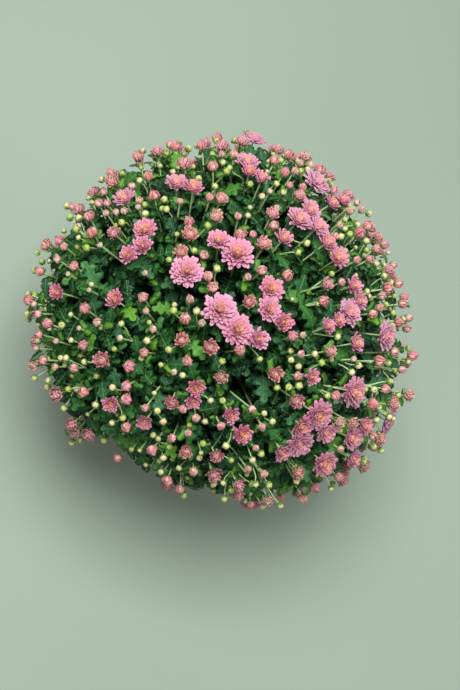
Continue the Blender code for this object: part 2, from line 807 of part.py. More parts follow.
def build_pot(plant, material):
    """A turned plastic pot with a banded rim, a foot ring and drain holes."""
    floor = FOOT_RISE + POT_WALL
    band_foot = POT_HEIGHT - BAND_HEIGHT
    band_radius = RIM_RADIUS - BAND_TAPER
    ring_inside = FOOT_RADIUS - FOOT_RING
    profile = [
        (0, floor),
        (pot_inside(floor), floor),
        (pot_inside(POT_HEIGHT - LIP_DROP), POT_HEIGHT - LIP_DROP),
        (RIM_RADIUS - POT_WALL, POT_HEIGHT),
        (RIM_RADIUS, POT_HEIGHT),
        (band_radius, band_foot),
        (band_radius - BAND_STEP, band_foot - BAND_TAPER),
        (FOOT_RADIUS + FOOT_EDGE, FOOT_EDGE),
        (FOOT_RADIUS, 0),
        (ring_inside, 0),
        (ring_inside - POT_WALL, FOOT_RISE),
        (0, FOOT_RISE),
    ]
    mesh = bmesh.new()
    points = [mesh.verts.new((x, 0, z)) for x, z in profile]
    for a, b in zip(points, points[1:]):
        mesh.edges.new((a, b))
    pot = new_object("pot", mesh, plant, material)
    turned = pot.modifiers.new("turned", "SCREW")
    turned.steps = turned.render_steps = POT_SIDES
    turned.use_merge_vertices = True
    turned.merge_threshold = MERGE_WITHIN
    drains = new_collection("drain cutters")
    cutters = []
    for k in range(DRAIN_HOLES):
        low, high = [circle(DRAIN_HOLES, DRAIN_CIRCLE, height)[k] for height in (-floor, 2 * floor)]
        drain = stem_mesh(low, high, (DRAIN_RADIUS, DRAIN_RADIUS), DRAIN_SIDES)
        cutters.append(new_object(f"drain_{k + 1}", drain, drains))
    cut(pot, cutters, "drain holes")
    return pot


def build_soil(plant, material):
    """The block of potting soil, with a plain hole for each main stem."""
    low = FOOT_RISE + POT_WALL + GAP
    mesh = bmesh.new()
    bmesh.ops.create_cone(
        mesh, cap_ends=True, segments=SOIL_SIDES, depth=SOIL_TOP - low,
        radius1=pot_inside(low) - SOIL_SLACK, radius2=pot_inside(SOIL_TOP) - SOIL_SLACK,
    )
    placed(mesh, Matrix.Translation((0, 0, (SOIL_TOP + low) / 2)))
    soil = new_object("soil", mesh, plant, material)
    holes = new_collection("stem holes")
    radius = MAIN_RADII[0] + STEM_HOLE_SLACK
    cutters = []
    for number, aim in enumerate(AIMS):
        start = CROWN + aim * (MAIN_START - GAP)
        end = CROWN + aim * ((SOIL_TOP - CROWN.z + HOLE_BEYOND) / aim.z)
        hole = stem_mesh(start, end, (radius, radius), MAIN_SIDES)
        cutters.append(new_object(f"hole_{number + 1:02d}", hole, holes))
    cut(soil, cutters, "stem holes")
    return soil


def round_off(obj):
    """Smooth shading on what is round, with its true corners kept sharp."""
    apply_modifiers(obj)
    obj.data.shade_smooth()
    obj.data.set_sharp_from_angle(angle=ROUND_ANGLE)


def main():
    for obj in list(bpy.data.objects):
        bpy.data.objects.remove(obj)
    plant = new_collection("pot chrysanthemum")
    green = plain_material("leaf green", (0.045, 0.13, 0.03), 0.55)
    pink = plain_material("petal pink", (0.80, 0.30, 0.46), 0.6)
    clay = plain_material("pot plastic", (0.42, 0.16, 0.09), 0.5)
    peat = plain_material("potting soil", (0.035, 0.022, 0.015), 0.95)

    draw = random.Random(SEED)
    blooms = plan_blooms(draw)
    half_open = plan_half_open(blooms, draw)
    tips = plan_leafy_tips(draw)
    buds = plan_buds(blooms + half_open, draw)
    stalks = blooms + half_open[:HALF_OPEN_HERE] + tips
    heads = stalks + [bud for bud in buds if bud.parent in stalks][:BUDS_HERE]
    grown = [(placing, length, stalk) for stalk in stalks for placing, length in leaves_of(stalk, draw)]
    fitting = [leaf for leaf in grown if leaf_fits(leaf[0], leaf[2], heads)]
    leaves = even_choice(fitting, LEAVES_HERE)

    for shoot in range(len(AIMS)):
        own = [(placing, length) for placing, length, stalk in leaves if stalk.shoot == shoot]
        build_shoot(shoot, [h for h in heads if h.shoot == shoot], own, plant, green)
    build_blooms(blooms, plant, pink)
    round_off(build_pot(plant, clay))
    round_off(build_soil(plant, peat))


main()
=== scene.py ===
"""Pot chrysanthemum, finished: stalks, lobed leaves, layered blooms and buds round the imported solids.

Metres, +Z up, the origin in the middle of the pot's foot. The plant is laid out by the rule that its
solids follow, so each stalk, leaf and head here lies where its solid does.
"""

import json
import math
import random
from dataclasses import dataclass, replace

import bmesh
import bpy
from mathutils import Matrix, Vector
from mathutils.geometry import intersect_point_line

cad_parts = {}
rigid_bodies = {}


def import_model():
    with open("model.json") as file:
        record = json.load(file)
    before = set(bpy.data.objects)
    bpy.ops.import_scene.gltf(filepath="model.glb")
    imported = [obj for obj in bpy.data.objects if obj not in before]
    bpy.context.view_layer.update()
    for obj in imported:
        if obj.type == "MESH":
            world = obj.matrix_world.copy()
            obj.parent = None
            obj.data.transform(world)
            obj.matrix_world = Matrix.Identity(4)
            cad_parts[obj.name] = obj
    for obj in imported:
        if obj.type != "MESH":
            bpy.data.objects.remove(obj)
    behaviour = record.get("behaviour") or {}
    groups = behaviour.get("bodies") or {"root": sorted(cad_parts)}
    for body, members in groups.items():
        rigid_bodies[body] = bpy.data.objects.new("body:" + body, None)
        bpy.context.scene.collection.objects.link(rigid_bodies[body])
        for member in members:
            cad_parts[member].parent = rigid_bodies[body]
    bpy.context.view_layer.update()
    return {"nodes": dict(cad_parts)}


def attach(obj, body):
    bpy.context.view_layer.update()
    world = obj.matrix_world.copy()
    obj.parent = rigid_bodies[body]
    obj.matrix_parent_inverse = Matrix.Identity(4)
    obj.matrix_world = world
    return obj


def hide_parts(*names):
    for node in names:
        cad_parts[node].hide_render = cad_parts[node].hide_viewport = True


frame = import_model()


# The growing plan. Main stems fan out from the crown, and their stalks carry heads to the surface of
# a flattened dome: the blooms where the photograph shows them, all else by one seeded rule.
DOME_MIDDLE = Vector((0.006, -0.004, 0.235))
DOME_RADIUS = 0.208
DOME_HALF_HEIGHT = 0.158
CROWN = Vector((0, 0, 0.105))
# It has grown fuller to some sides: (share of its radius, how many sides, the first one's azimuth)
DOME_LOBES = ((0.027, 2, math.radians(-25)), (0.032, 3, math.radians(-48)))
SIGHT_ELEVATION = math.radians(62)
SIGHT_AZIMUTH = math.radians(-48)
SIGHT_ROLL = math.radians(48)
SIGHT_DISTANCE = 1.25
PIXEL_SIZE = 0.0011
MIDDLE_PIXEL = (228, 319)
RAY_STEPS = 100
RAY_HALVINGS = 24
# Open blooms in the photograph: pixels across, pixels down, pixels wide when seen from in front
BLOOMS_SEEN = (
    (124, 198, 24), (145, 229, 25), (144, 245, 22), (127, 256, 20), (178, 183, 24), (192, 187, 22),
    (247, 160, 24), (249, 173, 18), (263, 179, 18), (220, 241, 24), (236, 251, 33), (318, 181, 30),
    (332, 203, 18), (307, 205, 24), (300, 218, 28), (318, 226, 25), (284, 238, 21), (329, 247, 22),
    (340, 259, 24), (343, 200, 18), (57, 292, 18), (115, 299, 21), (187, 271, 32), (216, 303, 34),
    (235, 333, 33), (272, 284, 26), (267, 312, 26), (285, 323, 22), (266, 342, 24), (353, 284, 20),
    (352, 313, 28), (322, 329, 18), (336, 322, 17), (364, 297, 20), (387, 336, 28), (356, 343, 21),
    (355, 392, 31), (312, 377, 19), (319, 412, 31), (301, 426, 21), (298, 446, 28), (284, 452, 20),
    (327, 436, 24), (325, 464, 27), (350, 440, 25), (353, 459, 21), (367, 424, 20), (242, 434, 22),
    (231, 415, 19), (145, 422, 18), (111, 404, 19), (196, 386, 19), (193, 403, 18),
)
HIDDEN_BLOOMS = 8
HIDDEN_WIDTHS = (0.023, 0.031)
HIDDEN_TRIES = 160
HIDDEN_BELOW = 0.05
JOIN_WITHIN = 1.18
JOINED_AT = 0.81
APART_AT = 1.07
SPREAD_ROUNDS = 30
SPREAD_STEP = 0.4
HALF_OPEN = 250
HALF_OPEN_IN_SOLIDS = 76
BUDS_IN_SOLIDS = 24
HALF_OPEN_TRIES = 4
HALF_OPEN_RADII = (0.0051, 0.0078)
BUDS = 260
BUD_TRIES = 6
BUD_RADII = (0.0033, 0.0042)
BUD_GAPS = (0.0025, 0.0085)
BUD_DROPS = (-0.002, 0.007)
BUD_STALKS = (0.024, 0.036)
BUD_CLEARANCE = 0.0025
LOWEST_HEAD = math.radians(108)
HEAD_LIFTS = (0.975, 1.015)
ROOM_BETWEEN_HEADS = 0.0015
# Rings of main stems as (lean from upright, how many, first azimuth), all in degrees
MAIN_RINGS = ((0, 1, 0), (27, 5, 10), (51, 8, 30))
CELL_MARGIN = 0.0015
STALK_SHARES = (0.34, 0.60)
LEAFY_STALK_SHARE = 0.44
STALK_DROP = 0.9
STALK_SCATTER = 0.05
LEAVES_PER_STALK = 4
FIRST_LEAF_DOWN = 0.026
LEAF_STEP = 0.013
LEAF_STEP_SCATTER = 0.006
LEAF_LENGTHS = (0.028, 0.042)
LEAF_LENGTH_SCATTER = (-0.002, 0.004)
LEAF_LEANS = (48, 66)
LEAF_FACE_LIFT = 0.3
GOLDEN_TURN = math.radians(137.5)
LEAFLESS_FOOT = 0.010
LEAFY_TIPS = 20
LEAFY_SCATTER = 0.25
LEAFY_POLARS = (108, 134)
LEAFY_LIFT = 0.93
LEAFY_RADIUS = 0.004
LEAFY_TIP_LEAVES = 6
FIRST_TIP_LEAF_DOWN = 0.002
LEAFY_TIP_STEP = 0.012
LEAF_GROWTH = 0.6
SEED = 2611


@dataclass(eq=False)
class Head:
    """A bloom, half-open head, bud or leafy tip, with the straight stalk that carries it."""

    kind: str
    spot: Vector
    radius: float
    shoot: int
    foot: Vector
    axis: Vector
    turn: float
    parent: "Head" = None


def sight_axes():
    """The photograph's right, its up and the direction back to where it was taken from."""
    level, rise = math.cos(SIGHT_ELEVATION), math.sin(SIGHT_ELEVATION)
    east, north = math.sin(SIGHT_AZIMUTH), -math.cos(SIGHT_AZIMUTH)
    back = Vector((east * level, north * level, rise))
    upright = Vector((-east * rise, -north * rise, level))
    up = Matrix.Rotation(SIGHT_ROLL, 3, back) @ upright
    return up.cross(back), up, back


SIGHT_RIGHT, SIGHT_UP, SIGHT_BACK = sight_axes()
EYE = DOME_MIDDLE + SIGHT_BACK * SIGHT_DISTANCE


def dome_radius(vector):
    """The dome's level radius to the side that the vector points to."""
    azimuth = math.atan2(vector.y, vector.x)
    lobes = sum(share * math.cos(sides * (azimuth - first)) for share, sides, first in DOME_LOBES)
    return DOME_RADIUS * (1 + lobes)


def to_unit_dome(vector):
    """The vector in the space where the dome is a ball of radius 1."""
    flat = dome_radius(vector)
    return Vector((vector.x / flat, vector.y / flat, vector.z / DOME_HALF_HEIGHT))


def from_unit_dome(vector):
    """The point in space of a vector from the middle of that ball."""
    flat = dome_radius(vector)
    return DOME_MIDDLE + Vector((vector.x * flat, vector.y * flat, vector.z * DOME_HALF_HEIGHT))


def onto_dome(point):
    """Where the line from the dome's middle through the point meets the dome."""
    return from_unit_dome(to_unit_dome(point - DOME_MIDDLE).normalized())


def round_axis(out, azimuth, height):
    """The point this far out from an upright axis, this way round it and this high."""
    return Vector((out * math.cos(azimuth), out * math.sin(azimuth), height))


def on_dome(polar, azimuth, lift=1.0):
    """The point at this angle down from the dome's top and this way round."""
    return from_unit_dome(round_axis(math.sin(polar), azimuth, math.cos(polar)) * lift)


def depth_share(point):
    """1 on the dome, less inside it."""
    return to_unit_dome(point - DOME_MIDDLE).length


def crossing(start, ray, inside, outside):
    """The share of a ray at which it crosses the dome, between a share inside it and one outside."""
    for _ in range(RAY_HALVINGS):
        middle = (inside + outside) / 2
        if depth_share(start + ray * middle) > 1:
            outside = middle
        else:
            inside = middle
    return inside


def seen_at(across, down):
    """The point of the dome that shows at this pixel of the photograph."""
    right = (across - MIDDLE_PIXEL[0]) * PIXEL_SIZE
    up = (MIDDLE_PIXEL[1] - down) * PIXEL_SIZE
    ray = DOME_MIDDLE + SIGHT_RIGHT * right + SIGHT_UP * up - EYE
    shares = [k / RAY_STEPS for k in range(2 * RAY_STEPS)]
    deepest = min(shares, key=lambda share: depth_share(EYE + ray * share))
    return onto_dome(EYE + ray * crossing(EYE, ray, deepest, 0.0))


def seen_radius(spot, wide):
    """The radius of a flower at this point that the photograph shows this many pixels wide."""
    return wide * PIXEL_SIZE * (EYE - spot).length / SIGHT_DISTANCE / 2


def main_aims():
    """The direction of each main stem from the crown."""
    aims = []
    for lean, count, first in MAIN_RINGS:
        flat, height = math.sin(math.radians(lean)), math.cos(math.radians(lean))
        for k in range(count):
            aims.append(round_axis(flat, math.radians(first + 360 * k / count), height))
    return aims


AIMS = main_aims()


def reach(aim):
    """How far the dome is from the crown in this direction."""
    return crossing(CROWN, aim, 0.0, 2 * DOME_RADIUS)


def on_main(shoot, share):
    """The point of a main stem's line at this share of the way from the crown to the dome."""
    return CROWN + AIMS[shoot] * (reach(AIMS[shoot]) * share)


def shoot_of(point):
    """The main stem whose direction is nearest to the point's."""
    away = point - CROWN
    return max(range(len(AIMS)), key=lambda k: away.dot(AIMS[k]))


def room_in_cell(point, shoot):
    """How far the point is inside the wedge of space that a shoot keeps to itself."""
    away = point - CROWN
    own = AIMS[shoot]
    return min(away.dot((own - other).normalized()) for other in AIMS if other is not own)


def line_distance(point, start, end):
    """The distance from a point to a straight piece of stem."""
    share = intersect_point_line(point, start, end)[1]
    return (point - start.lerp(end, min(1.0, max(0.0, share)))).length


def spread_apart(spots, radii):
    """Draws blooms that nearly touch into one cluster, petals between petals, and frees all others."""
    pairs = [(i, j, radii[i] + radii[j]) for i in range(len(spots)) for j in range(i)]
    joined = [(spots[i] - spots[j]).length < JOIN_WITHIN * wide for i, j, wide in pairs]
    for _ in range(SPREAD_ROUNDS):
        for (i, j, wide), together in zip(pairs, joined):
            gap = spots[i] - spots[j]
            wanted = JOINED_AT * wide if together else max(gap.length, APART_AT * wide)
            push = gap.normalized() * (SPREAD_STEP * (wanted - gap.length))
            spots[i] = onto_dome(spots[i] + push)
            spots[j] = onto_dome(spots[j] - push)
    return spots


def stalked_head(kind, spot, radius, draw):
    """A head on a stalk of its own. A stalk to the outside of its shoot leaves the main stem lower."""
    shoot = shoot_of(spot)
    off = (spot - CROWN).angle(AIMS[shoot])
    lowest = LEAFY_STALK_SHARE if kind == "leafy" else STALK_SHARES[0]
    share = max(lowest, STALK_SHARES[1] - STALK_DROP * off - draw.uniform(0, STALK_SCATTER))
    foot = on_main(shoot, share)
    axis = (spot - foot).normalized()
    return Head(kind, spot, radius, shoot, foot, axis, draw.uniform(0, math.tau))


def has_room(spot, radius, heads):
    """Whether a flower of this radius fits here beside the others."""
    return all((spot - h.spot).length > radius + h.radius + ROOM_BETWEEN_HEADS for h in heads)


def widest_spot(draw, heads, radius, tries, wanted=lambda spot: True):
    """Of a few random places on the dome, the one that has most room round it."""
    best, best_room = None, 0.0
    for _ in range(tries):
        polar = math.acos(draw.uniform(math.cos(LOWEST_HEAD), 1))
        spot = on_dome(polar, draw.uniform(0, math.tau), draw.uniform(*HEAD_LIFTS))
        if wanted(spot) and has_room(spot, radius, heads):
            room = min((spot - h.spot).length - h.radius for h in heads)
            if room > best_room:
                best, best_room = spot, room
    return best


def facing_sight(spot):
    """How far this place on the dome faces the photograph: 1 straight on, under 0 on the far side."""
    return to_unit_dome(spot - DOME_MIDDLE).normalized().dot(SIGHT_BACK)


def out_of_sight(spot):
    """Whether the photograph can't show this place on the dome."""
    return facing_sight(spot) < HIDDEN_BELOW


def plan_blooms(draw):
    """The open blooms: those of the photograph, and a few on the side that it doesn't show."""
    spots = [seen_at(across, down) for across, down, _ in BLOOMS_SEEN]
    radii = [seen_radius(spot, wide) for spot, (_, _, wide) in zip(spots, BLOOMS_SEEN)]
    spots = spread_apart(spots, radii)
    blooms = [stalked_head("bloom", spot, radius, draw) for spot, radius in zip(spots, radii)]
    for _ in range(HIDDEN_BLOOMS):
        radius = draw.uniform(*HIDDEN_WIDTHS) / 2
        spot = widest_spot(draw, blooms, radius, HIDDEN_TRIES, out_of_sight)
        blooms.append(stalked_head("bloom", spot, radius, draw))
    return blooms


def plan_half_open(blooms, draw):
    """The half-open heads, spread evenly between the blooms."""
    heads = []
    for _ in range(HALF_OPEN):
        radius = draw.uniform(*HALF_OPEN_RADII)
        spot = widest_spot(draw, blooms + heads, radius, HALF_OPEN_TRIES)
        if spot:
            heads.append(stalked_head("half", spot, radius, draw))
    return heads


def plan_leafy_tips(draw):
    """Flowerless shoot tips round the lowest part of the dome, outside the pot's rim."""
    tips = []
    for k in range(LEAFY_TIPS):
        polar = math.radians(draw.uniform(*LEAFY_POLARS))
        azimuth = math.tau * (k + draw.uniform(-LEAFY_SCATTER, LEAFY_SCATTER)) / LEAFY_TIPS
        spot = on_dome(polar, azimuth, LEAFY_LIFT)
        tips.append(stalked_head("leafy", spot, LEAFY_RADIUS, draw))
    return tips


def plan_buds(flowers, draw):
    """Closed buds, each on a short stalk from the side of a flower's own stalk."""
    buds = []
    for _ in range(BUDS * BUD_TRIES):
        if len(buds) == BUDS:
            break
        parent = draw.choice(flowers)
        radius = draw.uniform(*BUD_RADII)
        side = Matrix.Rotation(draw.uniform(0, math.tau), 3, parent.axis) @ parent.axis.orthogonal()
        out = parent.radius + radius + draw.uniform(*BUD_GAPS)
        spot = parent.spot + side.normalized() * out - parent.axis * draw.uniform(*BUD_DROPS)
        others = [h for h in flowers if h is not parent]
        if (
            has_room(spot, radius, flowers + buds)
            and room_in_cell(spot, parent.shoot) > radius + CELL_MARGIN
            and all(line_distance(spot, h.foot, h.spot) > radius + BUD_CLEARANCE for h in others)
        ):
            foot = parent.spot - parent.axis * draw.uniform(*BUD_STALKS)
            axis = (spot - foot).normalized()
            turn = draw.uniform(0, math.tau)
            buds.append(Head("bud", spot, radius, parent.shoot, foot, axis, turn, parent))
    return buds


def leaf_place(root, out, face, length):
    """The placing of a leaf whose base is at root, which runs along out with its face turned to face."""
    out = out.normalized()
    face = (face - out * face.dot(out)).normalized()
    turn = Matrix((out, face.cross(out), face)).transposed().to_4x4()
    return Matrix.Translation(root) @ turn @ Matrix.Scale(length, 4)


def leaf_on(stalk, down, length, turn, draw):
    """The placing of a stalk's leaf, this far under its head and turned this way round it."""
    side = stalk.axis.orthogonal().normalized()
    side.rotate(Matrix.Rotation(turn, 3, stalk.axis))
    lean = math.radians(draw.uniform(*LEAF_LEANS))
    out = stalk.axis * math.cos(lean) + side * math.sin(lean)
    face = stalk.axis + Vector((0, 0, LEAF_FACE_LIFT))
    return leaf_place(stalk.spot - stalk.axis * down, out, face, length)


def leaves_of(stalk, draw):
    """The leaves that a stalk may carry, from its head downwards, as (placing, length)."""
    leaves = []
    start = draw.uniform(0, math.tau)
    leafy = stalk.kind == "leafy"
    count = LEAFY_TIP_LEAVES if leafy else LEAVES_PER_STALK
    for k in range(count):
        if leafy:
            down = FIRST_TIP_LEAF_DOWN + LEAFY_TIP_STEP * k
            share = LEAF_GROWTH
        else:
            down = FIRST_LEAF_DOWN + LEAF_STEP * k + draw.uniform(0, LEAF_STEP_SCATTER)
            share = (k + LEAF_GROWTH) / count
        length = LEAF_LENGTHS[0] + (LEAF_LENGTHS[1] - LEAF_LENGTHS[0]) * share
        length += draw.uniform(*LEAF_LENGTH_SCATTER)
        placing = leaf_on(stalk, down, length, start + GOLDEN_TURN * k, draw)
        if down < (stalk.spot - stalk.foot).length - LEAFLESS_FOOT:
            leaves.append((placing, length))
    return leaves


draw = random.Random(SEED)
blooms = plan_blooms(draw)
half_open = plan_half_open(blooms, draw)
leafy_tips = plan_leafy_tips(draw)
buds = plan_buds(blooms + half_open, draw)
stalks_in_solids = blooms + half_open[:HALF_OPEN_IN_SOLIDS] + leafy_tips
other_stalks = half_open[HALF_OPEN_IN_SOLIDS:]
leaves = [leaf for stalk in stalks_in_solids + other_stalks for leaf in leaves_of(stalk, draw)]
buds_in_solids = [bud for bud in buds if bud.parent in stalks_in_solids][:BUDS_IN_SOLIDS]


# Where the small heads stand. The side that the photograph shows has them where they are in it, round
# those in the solids. A stalk of the plan that would carry one more there ends in a small bud instead.
HEADS_TOUCH = 0.88
STANDS_FOR = 1.75
SHOWN_TO_SIGHT = -0.08
TIP_DROPS = (0.006, 0.016)
TIP_BUD_RADII = (0.0024, 0.0034)
MORE_BUDS = 210
# Small heads in the photograph: pixels across, pixels down, pixels wide
HEADS_SEEN = (
    (189, 221, 12), (190, 234, 16), (206, 233, 9), (209, 243, 13), (181, 252, 14), (204, 255, 11),
    (208, 276, 12), (213, 287, 13), (190, 299, 10), (185, 318, 13), (202, 323, 9), (182, 340, 14),
    (204, 341, 12), (215, 348, 9), (240, 350, 13), (187, 361, 12), (174, 372, 8), (221, 377, 14),
    (241, 234, 13), (253, 234, 9), (272, 214, 13), (274, 225, 11), (277, 208, 8), (248, 277, 9),
    (262, 270, 12), (249, 302, 14), (284, 273, 11), (264, 244, 15), (260, 288, 12), (293, 336, 12),
    (303, 335, 8), (275, 352, 12), (301, 354, 9), (305, 362, 12), (288, 368, 8), (276, 371, 9),
    (298, 376, 10), (297, 385, 10), (286, 393, 9), (288, 400, 7), (272, 388, 15), (262, 427, 9),
    (252, 409, 9), (221, 426, 10), (256, 448, 8), (248, 469, 9), (264, 474, 9), (242, 495, 9),
    (235, 501, 11), (251, 507, 8), (216, 456, 13), (209, 470, 7), (225, 471, 7), (198, 461, 9),
    (189, 471, 9), (180, 489, 10), (188, 433, 9), (172, 438, 10), (172, 402, 14), (183, 409, 10),
    (196, 418, 10), (152, 450, 12), (145, 408, 9), (134, 442, 9), (131, 436, 7), (82, 436, 10),
    (82, 422, 13), (68, 424, 10), (59, 403, 9), (83, 392, 12), (98, 376, 11), (82, 378, 13),
    (61, 382, 11), (51, 380, 7), (42, 374, 11), (55, 367, 8), (32, 366, 12), (43, 360, 10),
    (37, 355, 8), (64, 358, 11), (71, 357, 7), (83, 345, 11), (91, 344, 10), (56, 341, 7),
    (36, 348, 7), (39, 334, 9), (50, 333, 7), (134, 351, 13), (129, 366, 13), (126, 386, 12),
    (126, 399, 13), (120, 338, 8), (153, 329, 9), (146, 311, 8), (143, 297, 12), (124, 305, 9),
    (145, 273, 7), (97, 322, 10), (87, 325, 9), (79, 328, 6), (93, 315, 6), (74, 298, 11),
    (58, 301, 9), (38, 314, 9), (34, 304, 7), (31, 283, 12), (93, 296, 9), (92, 305, 7),
    (89, 290, 6), (74, 266, 11), (68, 274, 6), (57, 259, 9), (51, 252, 9), (64, 246, 9),
    (53, 240, 11), (91, 246, 10), (100, 245, 7), (114, 233, 13), (108, 246, 15), (78, 226, 8),
    (70, 217, 9), (72, 206, 8), (89, 216, 12), (99, 203, 10), (107, 203, 9), (106, 213, 8),
    (116, 212, 8), (124, 211, 9), (97, 221, 7), (139, 200, 9), (138, 207, 7), (132, 186, 9),
    (117, 183, 10), (105, 182, 8), (110, 172, 10), (104, 192, 8), (124, 160, 11), (145, 152, 9),
    (158, 152, 12), (168, 139, 8), (154, 195, 12), (151, 175, 8), (180, 201, 8), (185, 164, 15),
    (200, 180, 14), (213, 166, 12), (221, 199, 13), (210, 197, 10), (196, 142, 7), (219, 146, 9),
    (222, 154, 8), (230, 142, 8), (234, 154, 10), (244, 146, 12), (261, 139, 9), (257, 148, 10),
    (275, 160, 11), (289, 155, 11), (285, 172, 11), (295, 171, 9), (300, 163, 8), (319, 169, 10),
    (311, 165, 8), (290, 185, 8), (303, 187, 9), (299, 196, 13), (307, 204, 9), (270, 191, 7),
    (238, 216, 9), (289, 216, 12), (348, 204, 10), (350, 211, 9), (359, 201, 7), (362, 210, 8),
    (358, 222, 9), (360, 233, 12), (369, 227, 9), (340, 225, 8), (334, 190, 10), (336, 236, 9),
    (381, 239, 11), (393, 241, 9), (400, 248, 6), (370, 259, 9), (357, 260, 9), (376, 249, 9),
    (388, 255, 16), (409, 260, 8), (411, 267, 9), (406, 280, 9), (391, 281, 9), (342, 282, 9),
    (327, 284, 13), (324, 301, 12), (382, 296, 9), (412, 296, 9), (403, 304, 10), (380, 308, 9),
    (373, 314, 10), (410, 318, 9), (348, 343, 9), (330, 351, 13), (354, 359, 7), (380, 361, 12),
    (402, 370, 9), (391, 383, 10), (362, 378, 10), (347, 380, 12), (349, 388, 9), (385, 393, 10),
    (336, 396, 11), (345, 405, 13), (373, 404, 12), (381, 412, 12), (397, 407, 9), (373, 436, 9),
    (339, 422, 13), (352, 423, 13), (341, 449, 8), (288, 441, 11), (314, 442, 13), (298, 472, 13),
    (327, 486, 7), (331, 337, 9), (399, 322, 10), (395, 352, 10),
)

heads = half_open[:HALF_OPEN_IN_SOLIDS]
for across, down, wide in HEADS_SEEN:
    spot = seen_at(across, down)
    radius = seen_radius(spot, wide)
    others = [(other, HEADS_TOUCH) for other in blooms + buds_in_solids + heads[HALF_OPEN_IN_SOLIDS:]]
    others += [(other, STANDS_FOR) for other in heads[:HALF_OPEN_IN_SOLIDS]]
    if all((spot - other.spot).length > share * (radius + other.radius) for other, share in others):
        heads.append(stalked_head("half", spot, radius, draw))
tip_buds = []
for head in other_stalks:
    if facing_sight(head.spot) > SHOWN_TO_SIGHT:
        head.kind = "bud"
        head.spot = head.spot - head.axis * draw.uniform(*TIP_DROPS)
        head.radius = draw.uniform(*TIP_BUD_RADII)
        tip_buds.append(head)
    else:
        heads.append(head)
fixed_buds = buds_in_solids + tip_buds
more_buds = plan_buds(blooms + heads, draw)[:MORE_BUDS]
side_buds = buds_in_solids + [bud for bud in more_buds if has_room(bud.spot, bud.radius, fixed_buds)]
buds = side_buds + tip_buds
stalks = blooms + heads + tip_buds + leafy_tips


# Stems and stalks. The main stems stand in the soil and branch into the stalks, one for each head.
# All are thin round green shoots that waver a little and grow paler and thinner to the top.
MAIN_START = 0.016
MAIN_END = 0.62
MAIN_RADII = (0.0027, 0.0014)
STALK_RADII = (0.0013, 0.0009)
BUD_STALK_RADII = (0.0008, 0.0006)
STALK_WAVER = 0.0010
STALK_STEPS = 5
STALK_SIDES = 6
NECK = 0.9
WIDEST_NECK = 0.006
# How high in the plant each path starts and ends, which sets its colour
MAIN_HEIGHTS = (0.0, 0.45)
STALK_HEIGHTS = (0.35, 1.0)
BUD_STALK_HEIGHTS = (0.7, 1.0)
OLD_STALK = (0.055, 0.13, 0.028, 1)
YOUNG_STALK = (0.42, 0.58, 0.26, 1)
STALK_PALING = 1.35
STALK_MOTTLING = 0.3
STALK_GRAIN = 420.0
STALK_ROUGHNESS = (0.5, 0.2)


class Wire:
    """An output of a node. Sums and products on it add Math nodes, or Vector Math nodes for a vector."""

    def __init__(self, nodes, socket):
        self.nodes, self.socket = nodes, socket

    def out(self, name):
        """Another output of the same node."""
        return Wire(self.nodes, self.socket.node.outputs[name])

    def __add__(self, other):
        return self.nodes.maths("ADD", self, other)

    def __radd__(self, other):
        return self.nodes.maths("ADD", other, self)

    def __sub__(self, other):
        return self.nodes.maths("SUBTRACT", self, other)

    def __rsub__(self, other):
        return self.nodes.maths("SUBTRACT", other, self)

    def __mul__(self, other):
        return self.nodes.maths("MULTIPLY", self, other)

    def __rmul__(self, other):
        return self.nodes.maths("MULTIPLY", other, self)

    def __truediv__(self, other):
        return self.nodes.maths("DIVIDE", self, other)

    def __rtruediv__(self, other):
        return self.nodes.maths("DIVIDE", other, self)

    def __pow__(self, other):
        return self.nodes.maths("POWER", self, other)


